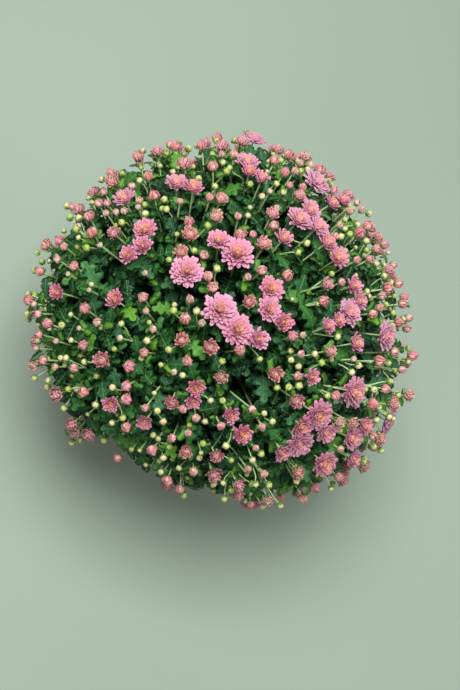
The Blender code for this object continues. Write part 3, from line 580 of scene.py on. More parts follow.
class Nodes:
    """Adds nodes to one tree."""

    def __init__(self, tree):
        self.tree = tree

    def feed(self, node, sockets):
        """Links or sets the node's sockets."""
        for key, value in sockets.items():
            if isinstance(value, Wire):
                self.tree.links.new(value.socket, node.inputs[key])
            else:
                node.inputs[key].default_value = value

    def add(self, kind, settings=None, sockets=None, out=0):
        """A new node: its settings first, then the values or links of its sockets."""
        node = self.tree.nodes.new(kind)
        for name, value in (settings or {}).items():
            if name == "stops":
                while len(node.color_ramp.elements) < len(value):
                    node.color_ramp.elements.new(1)
                for element, (position, colour) in zip(node.color_ramp.elements, value):
                    element.position, element.color = position, colour
            else:
                setattr(node, name, value)
        self.feed(node, sockets or {})
        return Wire(self, node.outputs[out]) if node.outputs else node

    def maths(self, operation, *values):
        """A Math node, or a Vector Math node where a value is a vector."""
        vectors = [v for v in values if isinstance(v, Wire) and v.socket.type == "VECTOR"]
        if not vectors:
            return self.add("ShaderNodeMath", {"operation": operation}, dict(enumerate(values)))
        if len(vectors) == 1 and operation == "MULTIPLY":
            factor = values[1] if values[0] is vectors[0] else values[0]
            scaled = {0: vectors[0], "Scale": factor}
            return self.add("ShaderNodeVectorMath", {"operation": "SCALE"}, scaled)
        return self.add("ShaderNodeVectorMath", {"operation": operation}, dict(enumerate(values)))

    def mix(self, factor, low, high):
        """A colour between two, by the factor."""
        return self.add("ShaderNodeMix", {"data_type": "RGBA"}, {0: factor, 6: low, 7: high}, out=2)

    def between(self, factor, low, high):
        """A number between two, by the factor."""
        return low + (high - low) * factor

    def clamped(self, value):
        """The value, kept from 0 to 1."""
        return self.add("ShaderNodeClamp", {}, {"Value": value})

    def blend(self, value, gain, lift):
        """A share for a mix: the value times the gain, plus the lift, kept from 0 to 1."""
        return self.clamped(value * gain + lift)

    def varied(self, middle, spread, noise):
        """A number that noise shifts to both sides of its middle."""
        return middle + (noise - 0.5) * spread

    def place(self):
        """Where in the object a point of its surface lies."""
        return self.add("ShaderNodeTexCoord", out="Object")

    def noise(self, scale, detail=2.0):
        """Smooth noise from 0 to 1."""
        sockets = {"Vector": self.place(), "Scale": scale, "Detail": detail}
        return self.add("ShaderNodeTexNoise", {}, sockets)

    def painted(self, name, out="Fac"):
        """A number or vector that the mesh carries, in a material."""
        return self.add("ShaderNodeAttribute", {"attribute_name": name}, out=out)

    def carried(self, name, kind="FLOAT"):
        """A number or vector that the points carry, in a Geometry Nodes tree."""
        return self.add("GeometryNodeInputNamedAttribute", {"data_type": kind}, {"Name": name})

    def keep(self, geometry, name, value, domain="POINT"):
        """Stores a number on the geometry under a name."""
        return self.add(
            "GeometryNodeStoreNamedAttribute", {"data_type": "FLOAT", "domain": domain},
            {"Geometry": geometry, "Name": name, "Value": value},
        )

    def finished(self, geometry, material):
        """Ends a growth's tree: real faces, shaded smooth, in the material."""
        real = self.add("GeometryNodeRealizeInstances", {}, {"Geometry": geometry})
        smooth = self.add("GeometryNodeSetShadeSmooth", {}, {"Geometry": real})
        done = self.add("GeometryNodeSetMaterial", {}, {"Geometry": smooth, "Material": material})
        self.add("NodeGroupOutput", {}, {0: done})


SOCKETS = {
    float: "NodeSocketFloat",
    int: "NodeSocketInt",
    bpy.types.Material: "NodeSocketMaterial",
    bpy.types.Collection: "NodeSocketCollection",
}


def new_growth(name, sizes, kinds=(bpy.types.Material,)):
    """A Geometry Nodes tree with these named inputs, as (nodes, the wires of its inputs by name)."""
    tree = bpy.data.node_groups.new(name, "GeometryNodeTree")
    tree.interface.new_socket("Geometry", in_out="INPUT", socket_type="NodeSocketGeometry")
    tree.interface.new_socket("Geometry", in_out="OUTPUT", socket_type="NodeSocketGeometry")
    for label, value in sizes.items():
        socket = tree.interface.new_socket(label, in_out="INPUT", socket_type=SOCKETS[type(value)])
        socket.default_value = value
    for kind in kinds:
        tree.interface.new_socket(kind.__name__, in_out="INPUT", socket_type=SOCKETS[kind])
    nodes = Nodes(tree)
    source = tree.nodes.new("NodeGroupInput")
    return nodes, {socket.name: Wire(nodes, socket) for socket in source.outputs if socket.name}


def in_scene(thing):
    """The object, once it is in the scene."""
    bpy.context.scene.collection.objects.link(thing)
    return thing


def seedbed(name, spots, edges=(), **carried):
    """An object of bare points, which carry numbers and vectors for a growth to read."""
    mesh = bpy.data.meshes.new(name)
    mesh.from_pydata([tuple(spot) for spot in spots], edges, [])
    for label, values in carried.items():
        if isinstance(values[0], Vector):
            layer = mesh.attributes.new(label, "FLOAT_VECTOR", "POINT")
            layer.data.foreach_set("vector", [x for value in values for x in value])
        else:
            layer = mesh.attributes.new(label, "FLOAT", "POINT")
            layer.data.foreach_set("value", values)
    return in_scene(bpy.data.objects.new(name, mesh))


def grown(bed, nodes, **values):
    """The plain mesh that a growth makes on a seedbed. Underscores in the names stand for spaces."""
    modifier = bed.modifiers.new("growth", "NODES")
    modifier.node_group = nodes.tree
    for socket in nodes.tree.interface.items_tree:
        key = socket.name.lower().replace(" ", "_")
        if key in values:
            modifier[socket.identifier] = values[key]
    graph = bpy.context.evaluated_depsgraph_get()
    mesh = bpy.data.meshes.new_from_object(
        bed.evaluated_get(graph), preserve_all_data_layers=True, depsgraph=graph
    )
    piece = in_scene(bpy.data.objects.new(bed.name, mesh))
    bpy.data.objects.remove(bed)
    piece.name = mesh.name = mesh.name.split(".")[0]
    return piece


def settled(piece, slot, *replaced):
    """Fixes a finished piece to the plant and hides the solids that it stands for. The slot is not used.
    """
    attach(piece, "root")
    if replaced:
        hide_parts(*replaced)


def new_finish(name, **constants):
    """A material, as (itself, its nodes, its shader). Constants go straight to the shader's sockets."""
    material = bpy.data.materials.new(name)
    material.use_nodes = True
    nodes = Nodes(material.node_tree)
    shader = material.node_tree.nodes["Principled BSDF"]
    nodes.feed(shader, {label.replace("_", " "): value for label, value in constants.items()})
    return material, nodes, shader


stalk_green, nodes, shader = new_finish("stalk green")
grain = nodes.noise(STALK_GRAIN)
paled = nodes.clamped(nodes.painted("along") * STALK_PALING + grain * STALK_MOTTLING - STALK_MOTTLING)
nodes.feed(shader, {
    "Base Color": nodes.mix(paled, OLD_STALK, YOUNG_STALK),
    "Roughness": nodes.varied(*STALK_ROUGHNESS, grain),
})

nodes, given = new_growth("tubes along paths", {"Sides": STALK_SIDES})
path = nodes.add("GeometryNodeMeshToCurve", {}, {"Mesh": given["Geometry"]})
ring = nodes.add("GeometryNodeCurvePrimitiveCircle", {}, {"Resolution": given["Sides"], "Radius": 1.0})
tube = nodes.add("GeometryNodeCurveToMesh", {}, {
    "Curve": path, "Profile Curve": ring, "Scale": nodes.carried("thick"), "Fill Caps": True,
})
nodes.finished(tube, given["Material"])
tubes = nodes

spots, links, thick, along = [], [], [], []


def add_path(start, end, radii, heights):
    """Adds a wavering path, with its thickness and its height in the plant at either end."""
    sway = (end - start).orthogonal().normalized() * STALK_WAVER
    sway.rotate(Matrix.Rotation(draw.uniform(0, math.tau), 3, (end - start).normalized()))
    for step in range(STALK_STEPS + 1):
        share = step / STALK_STEPS
        if step:
            links.append((len(spots) - 1, len(spots)))
        spots.append(start.lerp(end, share) + sway * math.sin(math.tau * share))
        thick.append(radii[0] + (radii[1] - radii[0]) * share)
        along.append(heights[0] + (heights[1] - heights[0]) * share)


for shoot, aim in enumerate(AIMS):
    add_path(CROWN + aim * MAIN_START, on_main(shoot, MAIN_END), MAIN_RADII, MAIN_HEIGHTS)
for head in stalks:
    neck = 0.0 if head.kind == "leafy" else NECK * min(head.radius, WIDEST_NECK)
    add_path(head.foot, head.spot - head.axis * neck, STALK_RADII, STALK_HEIGHTS)
for head in side_buds:
    top = head.spot - head.axis * NECK * head.radius
    add_path(head.foot, top, BUD_STALK_RADII, BUD_STALK_HEIGHTS)
bed = seedbed("stems_and_stalks", spots, links, thick=thick, along=along)
shoots = [name for name in frame["nodes"] if name.startswith("shoot")]
settled(grown(bed, tubes, sides=STALK_SIDES, material=stalk_green), "foliage", *shoots)


# Leaves. Each is a thin lobed blade on a short stalk, arched along its rib and folded at it, with
# paler veins. They stand round the stalks in a spiral, the large ones low and small ones near the heads.
LEAF_THICKNESS = 0.028
TIP_THINNING = 0.8
LEAF_PUFF = 0.020
PUFF_RISE = 6
MID_SHARE = 0.55
# One half of the edge, as shares of the length: along, sideways. Plain blades have every other point.
LEAF_EDGE = (
    (0.05, 0.013), (0.20, 0.024), (0.29, 0.14), (0.33, 0.30), (0.44, 0.33), (0.51, 0.20),
    (0.51, 0.12), (0.60, 0.18), (0.68, 0.30), (0.78, 0.20), (0.79, 0.11), (0.90, 0.13),
)
# Blades as (arch along the rib, fold at it, droop of the lobes, twist to one side)
BLADES = (
    (0.10, 0.25, 0.30, 0.00), (0.06, 0.34, 0.15, 0.05), (0.15, 0.18, 0.55, -0.04),
    (0.08, 0.10, 0.40, 0.08), (0.18, 0.30, 0.60, -0.07), (0.03, 0.22, 0.10, 0.03),
)
# Painted light and shade: leaves whose tips pass this share of the dome's depth are painted lit, more so
# towards its surface, and the deeper ones dark
SHADE_REACH = 0.74
DEEP_SHADE = 0.25
SHADE_SKEW = 1.2
MORE_LEAVES = 3
MORE_LEAF_SCATTER = 0.6
MORE_LEAF_LENGTHS = (0.036, 0.046)
TOP_LEAVES = 3
TOP_LEAVES_UNDER = 0.5
TOP_LEAVES_DOWN = (0.009, 0.036)
TOP_LEAF_LENGTHS = (0.009, 0.020)
TOP_LEAF_SHADES = (0.2, 1.1)
# A leaf keeps under the dome down to its skirt, and clear of the pot
BLADE_CHECKED_AT = (0.5, 1.0)
SKIRT_DEPTH = 0.06
POT_HEIGHT = 0.150
POT_RIM = 0.100
RIM_MARGIN = 0.010
# Painted shade: the nearly black green of the deepest leaves
SHADED_LEAF = (0.002, 0.012, 0.005, 1)
LEAF_GREEN = (0.020, 0.096, 0.013, 1)
YOUNG_LEAF = (0.125, 0.30, 0.022, 1)
# Painted sheen: the blue-green of leaves that seem to catch the sky's reflection
PAINTED_BLUE_SHEEN = (0.036, 0.125, 0.056, 1)
LEAF_VEIN = (0.13, 0.31, 0.08, 1)
LEAF_UNDERSIDE = (0.05, 0.14, 0.06, 1)
LEAF_SHEEN = (0.50, 1.0, 0.72, 1)
# Shares of a colour, as (gain, lift) of the leaf's shade or of the way off a vein or the rib
YOUNG_BLEND = (2.2, -1.25)
BLUE_BLEND = (2.2, -1.3)
VEIN_BLEND = (-7.0, 1.0)
VEIN_REACH = (-3.2, 1.0)
RIB_BLEND = (-42.0, 1.0)
GREEN_GAIN = 1.6
LEAF_MOTTLING = 0.5
BLUE_TURNS = 7.0
BLUE_SHARE = 0.8
VEINS = 5.5
VEIN_SLANT = 0.55
VEIN_STRENGTH = 0.55
RIB_SHARE = 0.6
UNDERSIDE_SHARE = 0.8
GRAIN_RELIEF = 0.25
QUILTING_RELIEF = 1.6
LEAF_MOTTLE = (90.0, 3.0)
LEAF_QUILTING = (330.0, 1.0)
LEAF_GRAIN = 1400.0
LEAF_ROUGHNESS = (0.40, 0.25)
LEAF_BUMP = {"Strength": 0.7, "Distance": 0.0009}


def blade_rise(x, y, arch, fold, droop, twist):
    """The height of a leaf's face over its chord, in shares of its length."""
    side = abs(y)
    return arch * (math.sin(math.pi * x) - x * x) + fold * side - droop * side * side * 2 + twist * x * y


def add_strip(mesh, first, second, side):
    """Faces between two rows of points, leaving out those that have no area."""
    for a, b, c, d in zip(first, first[1:], second[1:], second):
        corners = list(dict.fromkeys((a, b, c, d)[::side]))
        if len(corners) > 2:
            mesh.faces.new(corners)


def from_bmesh(name, mesh):
    """An object with the mesh that was built, not yet in the scene."""
    data = bpy.data.meshes.new(name)
    mesh.to_mesh(data)
    mesh.free()
    return bpy.data.objects.new(name, data)


def leaf_blade(number, form, detailed):
    """One leaf, 1 long, its base at the origin, as an object whose mesh carries its blade's places."""
    mesh = bmesh.new()
    layer = mesh.verts.layers.float_vector.new("blade")

    def vert(x, y, lift=0.0, under=0.0):
        made = mesh.verts.new((x, y, blade_rise(x, y, *form) + lift))
        made[layer] = (x, y, under)
        return made

    edge = LEAF_EDGE if detailed else LEAF_EDGE[1::2]
    count = len(edge) + 2
    ribs = [k / (count - 1) for k in range(count)]
    thick = [LEAF_THICKNESS * (1 - TIP_THINNING * x) for x in ribs]
    over = [vert(x, 0.0, t / 2) for x, t in zip(ribs, thick)]
    below = [vert(x, 0.0, -t / 2, 1.0) for x, t in zip(ribs, thick)]
    for side in (1, -1):
        rim = [over[0], *[vert(x, side * y) for x, y in edge], over[-1]]
        rows = [over, rim, below]
        if detailed:
            middle = [
                vert(r + (x - r) * MID_SHARE, side * y * MID_SHARE, LEAF_PUFF * min(1.0, y * PUFF_RISE))
                for r, (x, y) in zip(ribs[1:-1], edge)
            ]
            rows.insert(1, [over[0], *middle, over[-1]])
        for first, second in zip(rows, rows[1:]):
            add_strip(mesh, first, second, side)
    bmesh.ops.recalc_face_normals(mesh, faces=mesh.faces)
    return from_bmesh(f"blade_{number}", mesh)


def blade_set(name, detailed):
    """A collection of leaf blades to pick from."""
    blades = bpy.data.collections.new(name)
    for number, form in enumerate(BLADES):
        blades.objects.link(leaf_blade(number, form, detailed))
    return blades


leaf_green, nodes, shader = new_finish("leaf green", Specular_IOR_Level=0.34, Specular_Tint=LEAF_SHEEN)
blade = nodes.add("ShaderNodeSeparateXYZ", {}, {0: nodes.painted("blade", "Vector")})
sideways = nodes.maths("ABSOLUTE", blade.out("Y"))
ribbing = nodes.maths("PINGPONG", (blade.out("X") - sideways * VEIN_SLANT) * VEINS, 0.5) * 2
veins = nodes.blend(ribbing, *VEIN_BLEND) * nodes.blend(sideways, *VEIN_REACH) * VEIN_STRENGTH
midrib = nodes.blend(sideways, *RIB_BLEND)
mottle, grain = nodes.noise(*LEAF_MOTTLE), nodes.noise(LEAF_GRAIN)
shade = nodes.painted("shade")
# Painted shade: the deepest leaves are nearly black, the lit ones green and the youngest bright. Some turn
# bluish as a painted sheen.
greened = nodes.varied(shade * GREEN_GAIN, LEAF_MOTTLING, mottle)
colour = nodes.mix(nodes.clamped(greened), SHADED_LEAF, LEAF_GREEN)
colour = nodes.mix(nodes.blend(shade, *YOUNG_BLEND), colour, YOUNG_LEAF)
# Painted sheen: some leaves, picked by their shade, turn blue-green
bluish = nodes.maths("PINGPONG", shade * BLUE_TURNS, 1.0)
colour = nodes.mix(nodes.blend(bluish, *BLUE_BLEND) * BLUE_SHARE, colour, PAINTED_BLUE_SHEEN)
colour = nodes.mix(nodes.clamped(veins + midrib * RIB_SHARE), colour, LEAF_VEIN)
colour = nodes.mix(blade.out("Z") * UNDERSIDE_SHARE, colour, LEAF_UNDERSIDE)
relief = grain * GRAIN_RELIEF + nodes.noise(*LEAF_QUILTING) * QUILTING_RELIEF + veins + midrib
nodes.feed(shader, {
    "Base Color": colour,
    "Roughness": nodes.varied(*LEAF_ROUGHNESS, mottle),
    "Normal": nodes.add("ShaderNodeBump", {}, {**LEAF_BUMP, "Height": relief}),
})

nodes, given = new_growth("leaves at points", {"Size": 1.0}, (bpy.types.Collection, bpy.types.Material))
blades = nodes.add(
    "GeometryNodeCollectionInfo", {}, {"Collection": given["Collection"], "Separate Children": True}
)
turned = nodes.add(
    "FunctionNodeAxesToRotation", {"primary_axis": "X", "secondary_axis": "Z"},
    {0: nodes.carried("out", "FLOAT_VECTOR"), 1: nodes.carried("face", "FLOAT_VECTOR")},
)
placed_leaves = nodes.add("GeometryNodeInstanceOnPoints", {}, {
    "Points": given["Geometry"], "Instance": blades, "Pick Instance": True,
    "Instance Index": nodes.carried("form"), "Rotation": turned,
    "Scale": nodes.carried("length") * given["Size"],
})
nodes.finished(placed_leaves, given["Material"])
leaf_growth = nodes


def in_the_clear(placing):
    """Whether a leaf stays under the dome's surface, off the pot and over the soil."""
    for share in BLADE_CHECKED_AT:
        point = placing @ Vector((share, 0, 0))
        out = math.hypot(point.x, point.y)
        if depth_share(point) > 1.0 and point.z > DOME_MIDDLE.z - SKIRT_DEPTH:
            return False
        if out < POT_RIM + RIM_MARGIN and point.z < POT_HEIGHT + RIM_MARGIN:
            return False
    return True


def share_between(value, low, high):
    """0 at the low end of a range to 1 at its high end and beyond."""
    return min(1.0, max(0.0, (value - low) / (high - low)))


def leaf_bed(name, group):
    """The seedbed of a group of leaves, each given as (placing, length, shade)."""
    turns = [placing.to_3x3() for placing, _, _ in group]
    return seedbed(
        name, [placing.translation for placing, _, _ in group],
        out=[turn.col[0].normalized() for turn in turns],
        face=[turn.col[2].normalized() for turn in turns],
        length=[length for _, length, _ in group],
        shade=[shade for _, _, shade in group],
        form=[float(draw.randrange(len(BLADES))) for _ in group],
    )


# Each leaf's shade is painted: the deeper its tip lies in the dome the darker it is, and the lower leaves
# are darkest
upper, lower, small = [], [], []
for placing, length in leaves:
    if in_the_clear(placing):
        share = depth_share(placing @ Vector((1, 0, 0)))
        group = upper if share > SHADE_REACH else lower
        lit = DEEP_SHADE + (1 - DEEP_SHADE) * share_between(share, SHADE_REACH, 1.0)
        group.append((placing, length, lit * draw.random() ** SHADE_SKEW))
for stalk in stalks:
    reach_down = (stalk.spot - stalk.foot).length - LEAFLESS_FOOT
    lowest = FIRST_LEAF_DOWN + LEAF_STEP * LEAVES_PER_STALK
    for k in range(MORE_LEAVES):
        down = lowest + LEAF_STEP * (k + draw.uniform(0, MORE_LEAF_SCATTER))
        length = draw.uniform(*MORE_LEAF_LENGTHS)
        placing = leaf_on(stalk, down, length, draw.uniform(0, math.tau), draw)
        if down < reach_down and in_the_clear(placing):
            lower.append((placing, length, draw.uniform(0.0, DEEP_SHADE)))
    for _ in range(TOP_LEAVES):
        down = stalk.radius * TOP_LEAVES_UNDER + draw.uniform(*TOP_LEAVES_DOWN)
        length = draw.uniform(*TOP_LEAF_LENGTHS)
        placing = leaf_on(stalk, down, length, draw.uniform(0, math.tau), draw)
        small.append((placing, length, draw.uniform(*TOP_LEAF_SHADES)))
for name, group, detailed in (
    ("leaves", upper, True),
    ("lower_leaves", lower, False),
    ("small_leaves", small, False),
):
    blades = blade_set(name, detailed)
    settled(grown(leaf_bed(name, group), leaf_growth, collection=blades, material=leaf_green), "foliage")
    for blade in list(blades.objects):
        bpy.data.objects.remove(blade)


# Open blooms. Each is a disc of layered strap petals in a golden-angle spiral on the end of its stalk,
# spread flat at the rim and closed at the eye: lilac with pale tips and magenta feet, amber in the middle,
# and magenta along the petals' edges as painted shade between them.
OUTER_PETALS = 50
MORE_PETALS = 54
SMALL_BLOOM = 0.0116
SMALL_PETALS = 50
OPEN_RADII = (0.0095, 0.0165)
BLOOM_SUNK = 0.05
LILAC = (0.62, 0.365, 0.57, 1)
PINK = (0.50, 0.215, 0.30, 1)
CORAL = (0.60, 0.23, 0.19, 1)
AMBER = (0.70, 0.32, 0.15, 1)
MAGENTA = (0.47, 0.050, 0.18, 1)
PALE_TIP = (0.85, 0.72, 0.79, 1)
# From the outer petals to the eye, each at its share of warmth
BLOOM_COLOURS = ((0.05, LILAC), (0.40, PINK), (0.80, CORAL), (1.0, AMBER))
WARM_INSIDE = 0.92
WARM_SHUT = 0.44
TINT_COOLS = 0.18
PETAL_MOTTLING = 0.2
# Magenta reaches so far up a petal, and further at its edge as painted shade between petals, but not into
# the last layers
MAGENTA_REACH = 0.74
MAGENTA_SHADE_AT_EDGE = 0.20
MAGENTA_GAIN = 2.9
MAGENTA_LAYERS = 1.08
# Tips pale with this power of the way along, more in open blooms and by tint, less at the edge, where
# shade between petals is painted
TIP_POWER = 2.7
TIP_SHUT = 0.84
TIP_OPENED = 0.33
TIP_TINT = 0.20
TIP_SHADE_AT_EDGE = 0.14
TIP_LAYERS = 1.15
BLOOM_MOTTLE = 260.0
PETAL_ROUGHNESS = (0.62, 0.2)
# A petal's width at its foot and how it fills out, its thickness at the foot, and its turn out of line
PETAL_FOOT = 0.12
PETAL_FILL = 1.6
PETAL_THICK_FOOT = 1.2
TURN_SCATTER = 0.12
HEART_ALONG = 0.75
HEART_EDGE = 0.3
# Lengths, widths and seats are shares of the flower's radius, tilts are radians away from its axis, and
# the rest are shares of a petal's own size
PETAL_SIZES = {
    "Outer length": 1.0, "Inner length": 0.52, "Width": 0.295, "Shut width": 0.40, "Inner width": 0.80,
    "Shut tilt": 1.05, "Open tilt": 1.62, "Inner tilt": 0.12, "Tilt bias": 1.25, "Tilt scatter": 0.10,
    "Bulge": 0.07, "Inner bulge": 0.6, "Curl": 0.10, "Cup": 0.14, "Thickness": 0.03, "Notch": -0.05,
    "Taper": 0.63, "Seat": 0.25, "Seat width": 0.12, "Length scatter": 0.08, "Core width": 0.12,
    "Core height": 0.2, "Core detail": 2, "Segments": 4, "Seed": 3,
}

nodes, given = new_growth("petals round a flower", PETAL_SIZES)
axis = nodes.carried("axis", "FLOAT_VECTOR")
radius = nodes.carried("radius")
count = nodes.carried("petals")
opened = nodes.carried("opened")

tube = nodes.add(
    "GeometryNodeMeshCylinder", {"fill_type": "NGON"},
    {"Vertices": 4, "Side Segments": given["Segments"], "Radius": 1.0, "Depth": 1.0},
)
corner = nodes.add("ShaderNodeSeparateXYZ", {}, {0: nodes.add("GeometryNodeInputPosition")})
along = corner.out("Z") + 0.5
across = corner.out("X")
half_width = nodes.maths("SINE", math.pi * (PETAL_FOOT + given["Taper"] * along ** PETAL_FILL)) / 2
tip = along * along * along * along
edge_lift = given["Cup"] * across * across * half_width * 2
arch = given["Curl"] * along * along - given["Bulge"] * nodes.maths("SINE", math.pi * along)
thickness = corner.out("Y") * given["Thickness"] * (PETAL_THICK_FOOT - along)
off_middle = nodes.maths("ABSOLUTE", across)
shape = nodes.add("ShaderNodeCombineXYZ", {}, {
    "X": along - tip * given["Notch"] * (1 - off_middle),
    "Y": across * half_width,
    "Z": thickness + edge_lift + arch,
})
petal = nodes.add("GeometryNodeSetPosition", {}, {"Geometry": tube, "Position": shape})
petal = nodes.keep(nodes.keep(petal, "along", along), "edge", off_middle)

copies = nodes.add(
    "GeometryNodeDuplicateElements", {"domain": "POINT"}, {"Geometry": given["Geometry"], "Amount": count}
)
number = copies.out("Duplicate Index")
inner = (number + 0.5) / count


def scatter(seed_shift):
    """A random number from -1 to 1 for each petal."""
    return nodes.add(
        "FunctionNodeRandomValue", {"data_type": "FLOAT"},
        {2: -1.0, 3: 1.0, "Seed": given["Seed"] + seed_shift}, out=1,
    )


turn = nodes.carried("turn") + number * GOLDEN_TURN + scatter(0) * TURN_SCATTER
outer_tilt = nodes.between(opened, given["Shut tilt"], given["Open tilt"])
tilt = nodes.between(inner ** given["Tilt bias"], outer_tilt, given["Inner tilt"])
tilt = tilt + scatter(1) * given["Tilt scatter"]
facing = nodes.add("FunctionNodeAlignRotationToVector", {"axis": "Z"}, {"Vector": axis})
swing = nodes.add("ShaderNodeCombineXYZ", {}, {"Y": tilt - math.pi / 2, "Z": turn})
lean = nodes.add("FunctionNodeEulerToRotation", {}, {0: swing})
rotation = nodes.add("FunctionNodeRotateRotation", {"rotation_space": "LOCAL"}, {0: facing, 1: lean})
out = given["Seat width"] * radius * (1 - inner)
foot = nodes.add("ShaderNodeCombineXYZ", {}, {
    "X": nodes.maths("COSINE", turn) * out,
    "Y": nodes.maths("SINE", turn) * out,
    "Z": radius * given["Seat"] * -1.0,
})
foot = nodes.add("FunctionNodeRotateVector", {}, {0: foot, 1: facing})
feet = nodes.add("GeometryNodeSetPosition", {}, {"Geometry": copies, "Offset": foot})
feet = nodes.keep(feet, "layer", inner)
length = radius * nodes.between(inner, given["Outer length"], given["Inner length"])
length = length * (1 + scatter(2) * given["Length scatter"])
width = nodes.between(opened, given["Shut width"], given["Width"])
size = nodes.add("ShaderNodeCombineXYZ", {}, {
    "X": length,
    "Y": radius * width * nodes.between(inner, 1.0, given["Inner width"]),
    "Z": length * nodes.between(inner, 1.0, given["Inner bulge"]),
})
petals = nodes.add("GeometryNodeInstanceOnPoints", {}, {
    "Points": feet, "Instance": petal, "Rotation": rotation, "Scale": size,
})

ball = nodes.add("GeometryNodeMeshIcoSphere", {}, {"Radius": 1.0, "Subdivisions": given["Core detail"]})
hearts = nodes.keep(nodes.keep(given["Geometry"], "layer", 1.0), "along", HEART_ALONG)
hearts = nodes.keep(hearts, "edge", HEART_EDGE)
girth = radius * given["Core width"]
heart_size = nodes.add(
    "ShaderNodeCombineXYZ", {}, {"X": girth, "Y": girth, "Z": radius * given["Core height"]}
)
hearts = nodes.add("GeometryNodeInstanceOnPoints", {}, {
    "Points": hearts, "Instance": ball, "Rotation": facing, "Scale": heart_size,
})
whole = nodes.add("GeometryNodeJoinGeometry", {}, {0: petals})
nodes.feed(whole.socket.node, {0: hearts})
nodes.finished(whole, given["Material"])
flower_growth = nodes


def of_each(value, heads):
    """A number for each head, from a function of the head or from one number for all."""
    return [float(value(head) if callable(value) else value) for head in heads]


def flowers(name, heads, petals, opened, finish, slot, replaced=(), sunk=0.0, **sizes):
    """A group of flowers as one finished piece. The sizes are those that differ from PETAL_SIZES."""
    bed = seedbed(
        name, [head.spot - head.axis * (sunk * head.radius) for head in heads],
        axis=[head.axis for head in heads], radius=[head.radius for head in heads],
        turn=[head.turn for head in heads], tint=[draw.uniform(-1, 1) for _ in heads],
        petals=of_each(petals, heads), opened=of_each(opened, heads),
    )
    settled(grown(bed, flower_growth, material=finish, **sizes), slot, *replaced)


def bloom_opened(head):
    """0 for the smallest blooms, which are still cupped, to 1 for the wide flat ones."""
    return share_between(head.radius, *OPEN_RADII)


def bloom_petals(head):
    """How many petals a wide bloom has, the more the further it has opened."""
    return OUTER_PETALS + MORE_PETALS * bloom_opened(head)


petal_pink, nodes, shader = new_finish("petal pink", Specular_IOR_Level=0.25, Sheen_Weight=0.15)
layer, along, edge = nodes.painted("layer"), nodes.painted("along"), nodes.painted("edge")
opened, tint = nodes.painted("opened"), nodes.painted("tint")
mottle = nodes.noise(BLOOM_MOTTLE)
# Warmer to the eye and in less open blooms, magenta down to the foot and as painted shade along the edges,
# and paler to the tip
warmth = layer * WARM_INSIDE + (1 - opened) * WARM_SHUT - tint * TINT_COOLS
warmth = nodes.clamped(nodes.varied(warmth, PETAL_MOTTLING, mottle))
colour = nodes.add("ShaderNodeValToRGB", {"stops": BLOOM_COLOURS}, {0: warmth})
magenta_and_edge_shade = (MAGENTA_REACH + edge * MAGENTA_SHADE_AT_EDGE - along) * MAGENTA_GAIN * (MAGENTA_LAYERS - layer)
colour = nodes.mix(nodes.clamped(magenta_and_edge_shade), colour, MAGENTA)
paled = TIP_SHUT + opened * TIP_OPENED + tint * TIP_TINT - edge * TIP_SHADE_AT_EDGE
paled = along ** TIP_POWER * paled * (TIP_LAYERS - layer)
colour = nodes.mix(nodes.clamped(paled), colour, PALE_TIP)
nodes.feed(shader, {"Base Color": colour, "Roughness": nodes.varied(*PETAL_ROUGHNESS, mottle)})

wide_blooms = [head for head in blooms if head.radius > SMALL_BLOOM]
small_blooms = [head for head in blooms if head.radius <= SMALL_BLOOM]
flowers(
    "open_blooms", wide_blooms, bloom_petals, bloom_opened, petal_pink, "petal",
    [name for name in frame["nodes"] if name.startswith("bloom")], BLOOM_SUNK,
)
flowers(
    "small_blooms", small_blooms, SMALL_PETALS, bloom_opened, petal_pink, "petal", sunk=BLOOM_SUNK,
    inner_length=0.66, shut_width=0.42, width=0.40, shut_tilt=1.22, open_tilt=1.42,
    tilt_bias=1.0, bulge=0.12, segments=3,
)


# Half-open heads. The larger ones are cups of petals that open round a closed middle, the smaller ones
# balls that only begin to show their petals. They are coral to rose with paler tips, the smallest peach.
OPENING_RADIUS = 0.0064
SHOWING_RADIUS = 0.0034
OPENING_PETALS = 38
OPENING_STAGES = (0.5, 1.0)
SHOWING_PETALS = 18
SALMON = (0.54, 0.28, 0.22, 1)
ROSE = (0.52, 0.25, 0.27, 1)
PALE_ROSE = (0.50, 0.45, 0.31, 1)
SALMON_TIP = (0.70, 0.58, 0.53, 1)
SALMON_FOOT = (0.48, 0.11, 0.13, 1)
CORAL_HEART = (0.70, 0.35, 0.30, 1)
ROSE_BLEND = (1.4, 0.5)
HEART_BLEND = (1.5, -0.6)
# Shut heads are pale, less so as they open and by tint
SHUT_PALENESS = 0.95
PALENESS_OPENED = 1.6
PALENESS_TINT = 0.5
# Red reaches so far up a petal. It and the pale tip show only in part on a head that is still shut.
RED_REACH = 0.75
RED_GAIN = 1.5
RED_LAYERS = 1.15
RED_WHILE_SHUT = 0.35
HEAD_TIP_POWER = 4.0
HEAD_TIP_LAYERS = (1.15, 0.65)
HEAD_TIP_WHILE_SHUT = 0.45
HEAD_MOTTLE = 300.0

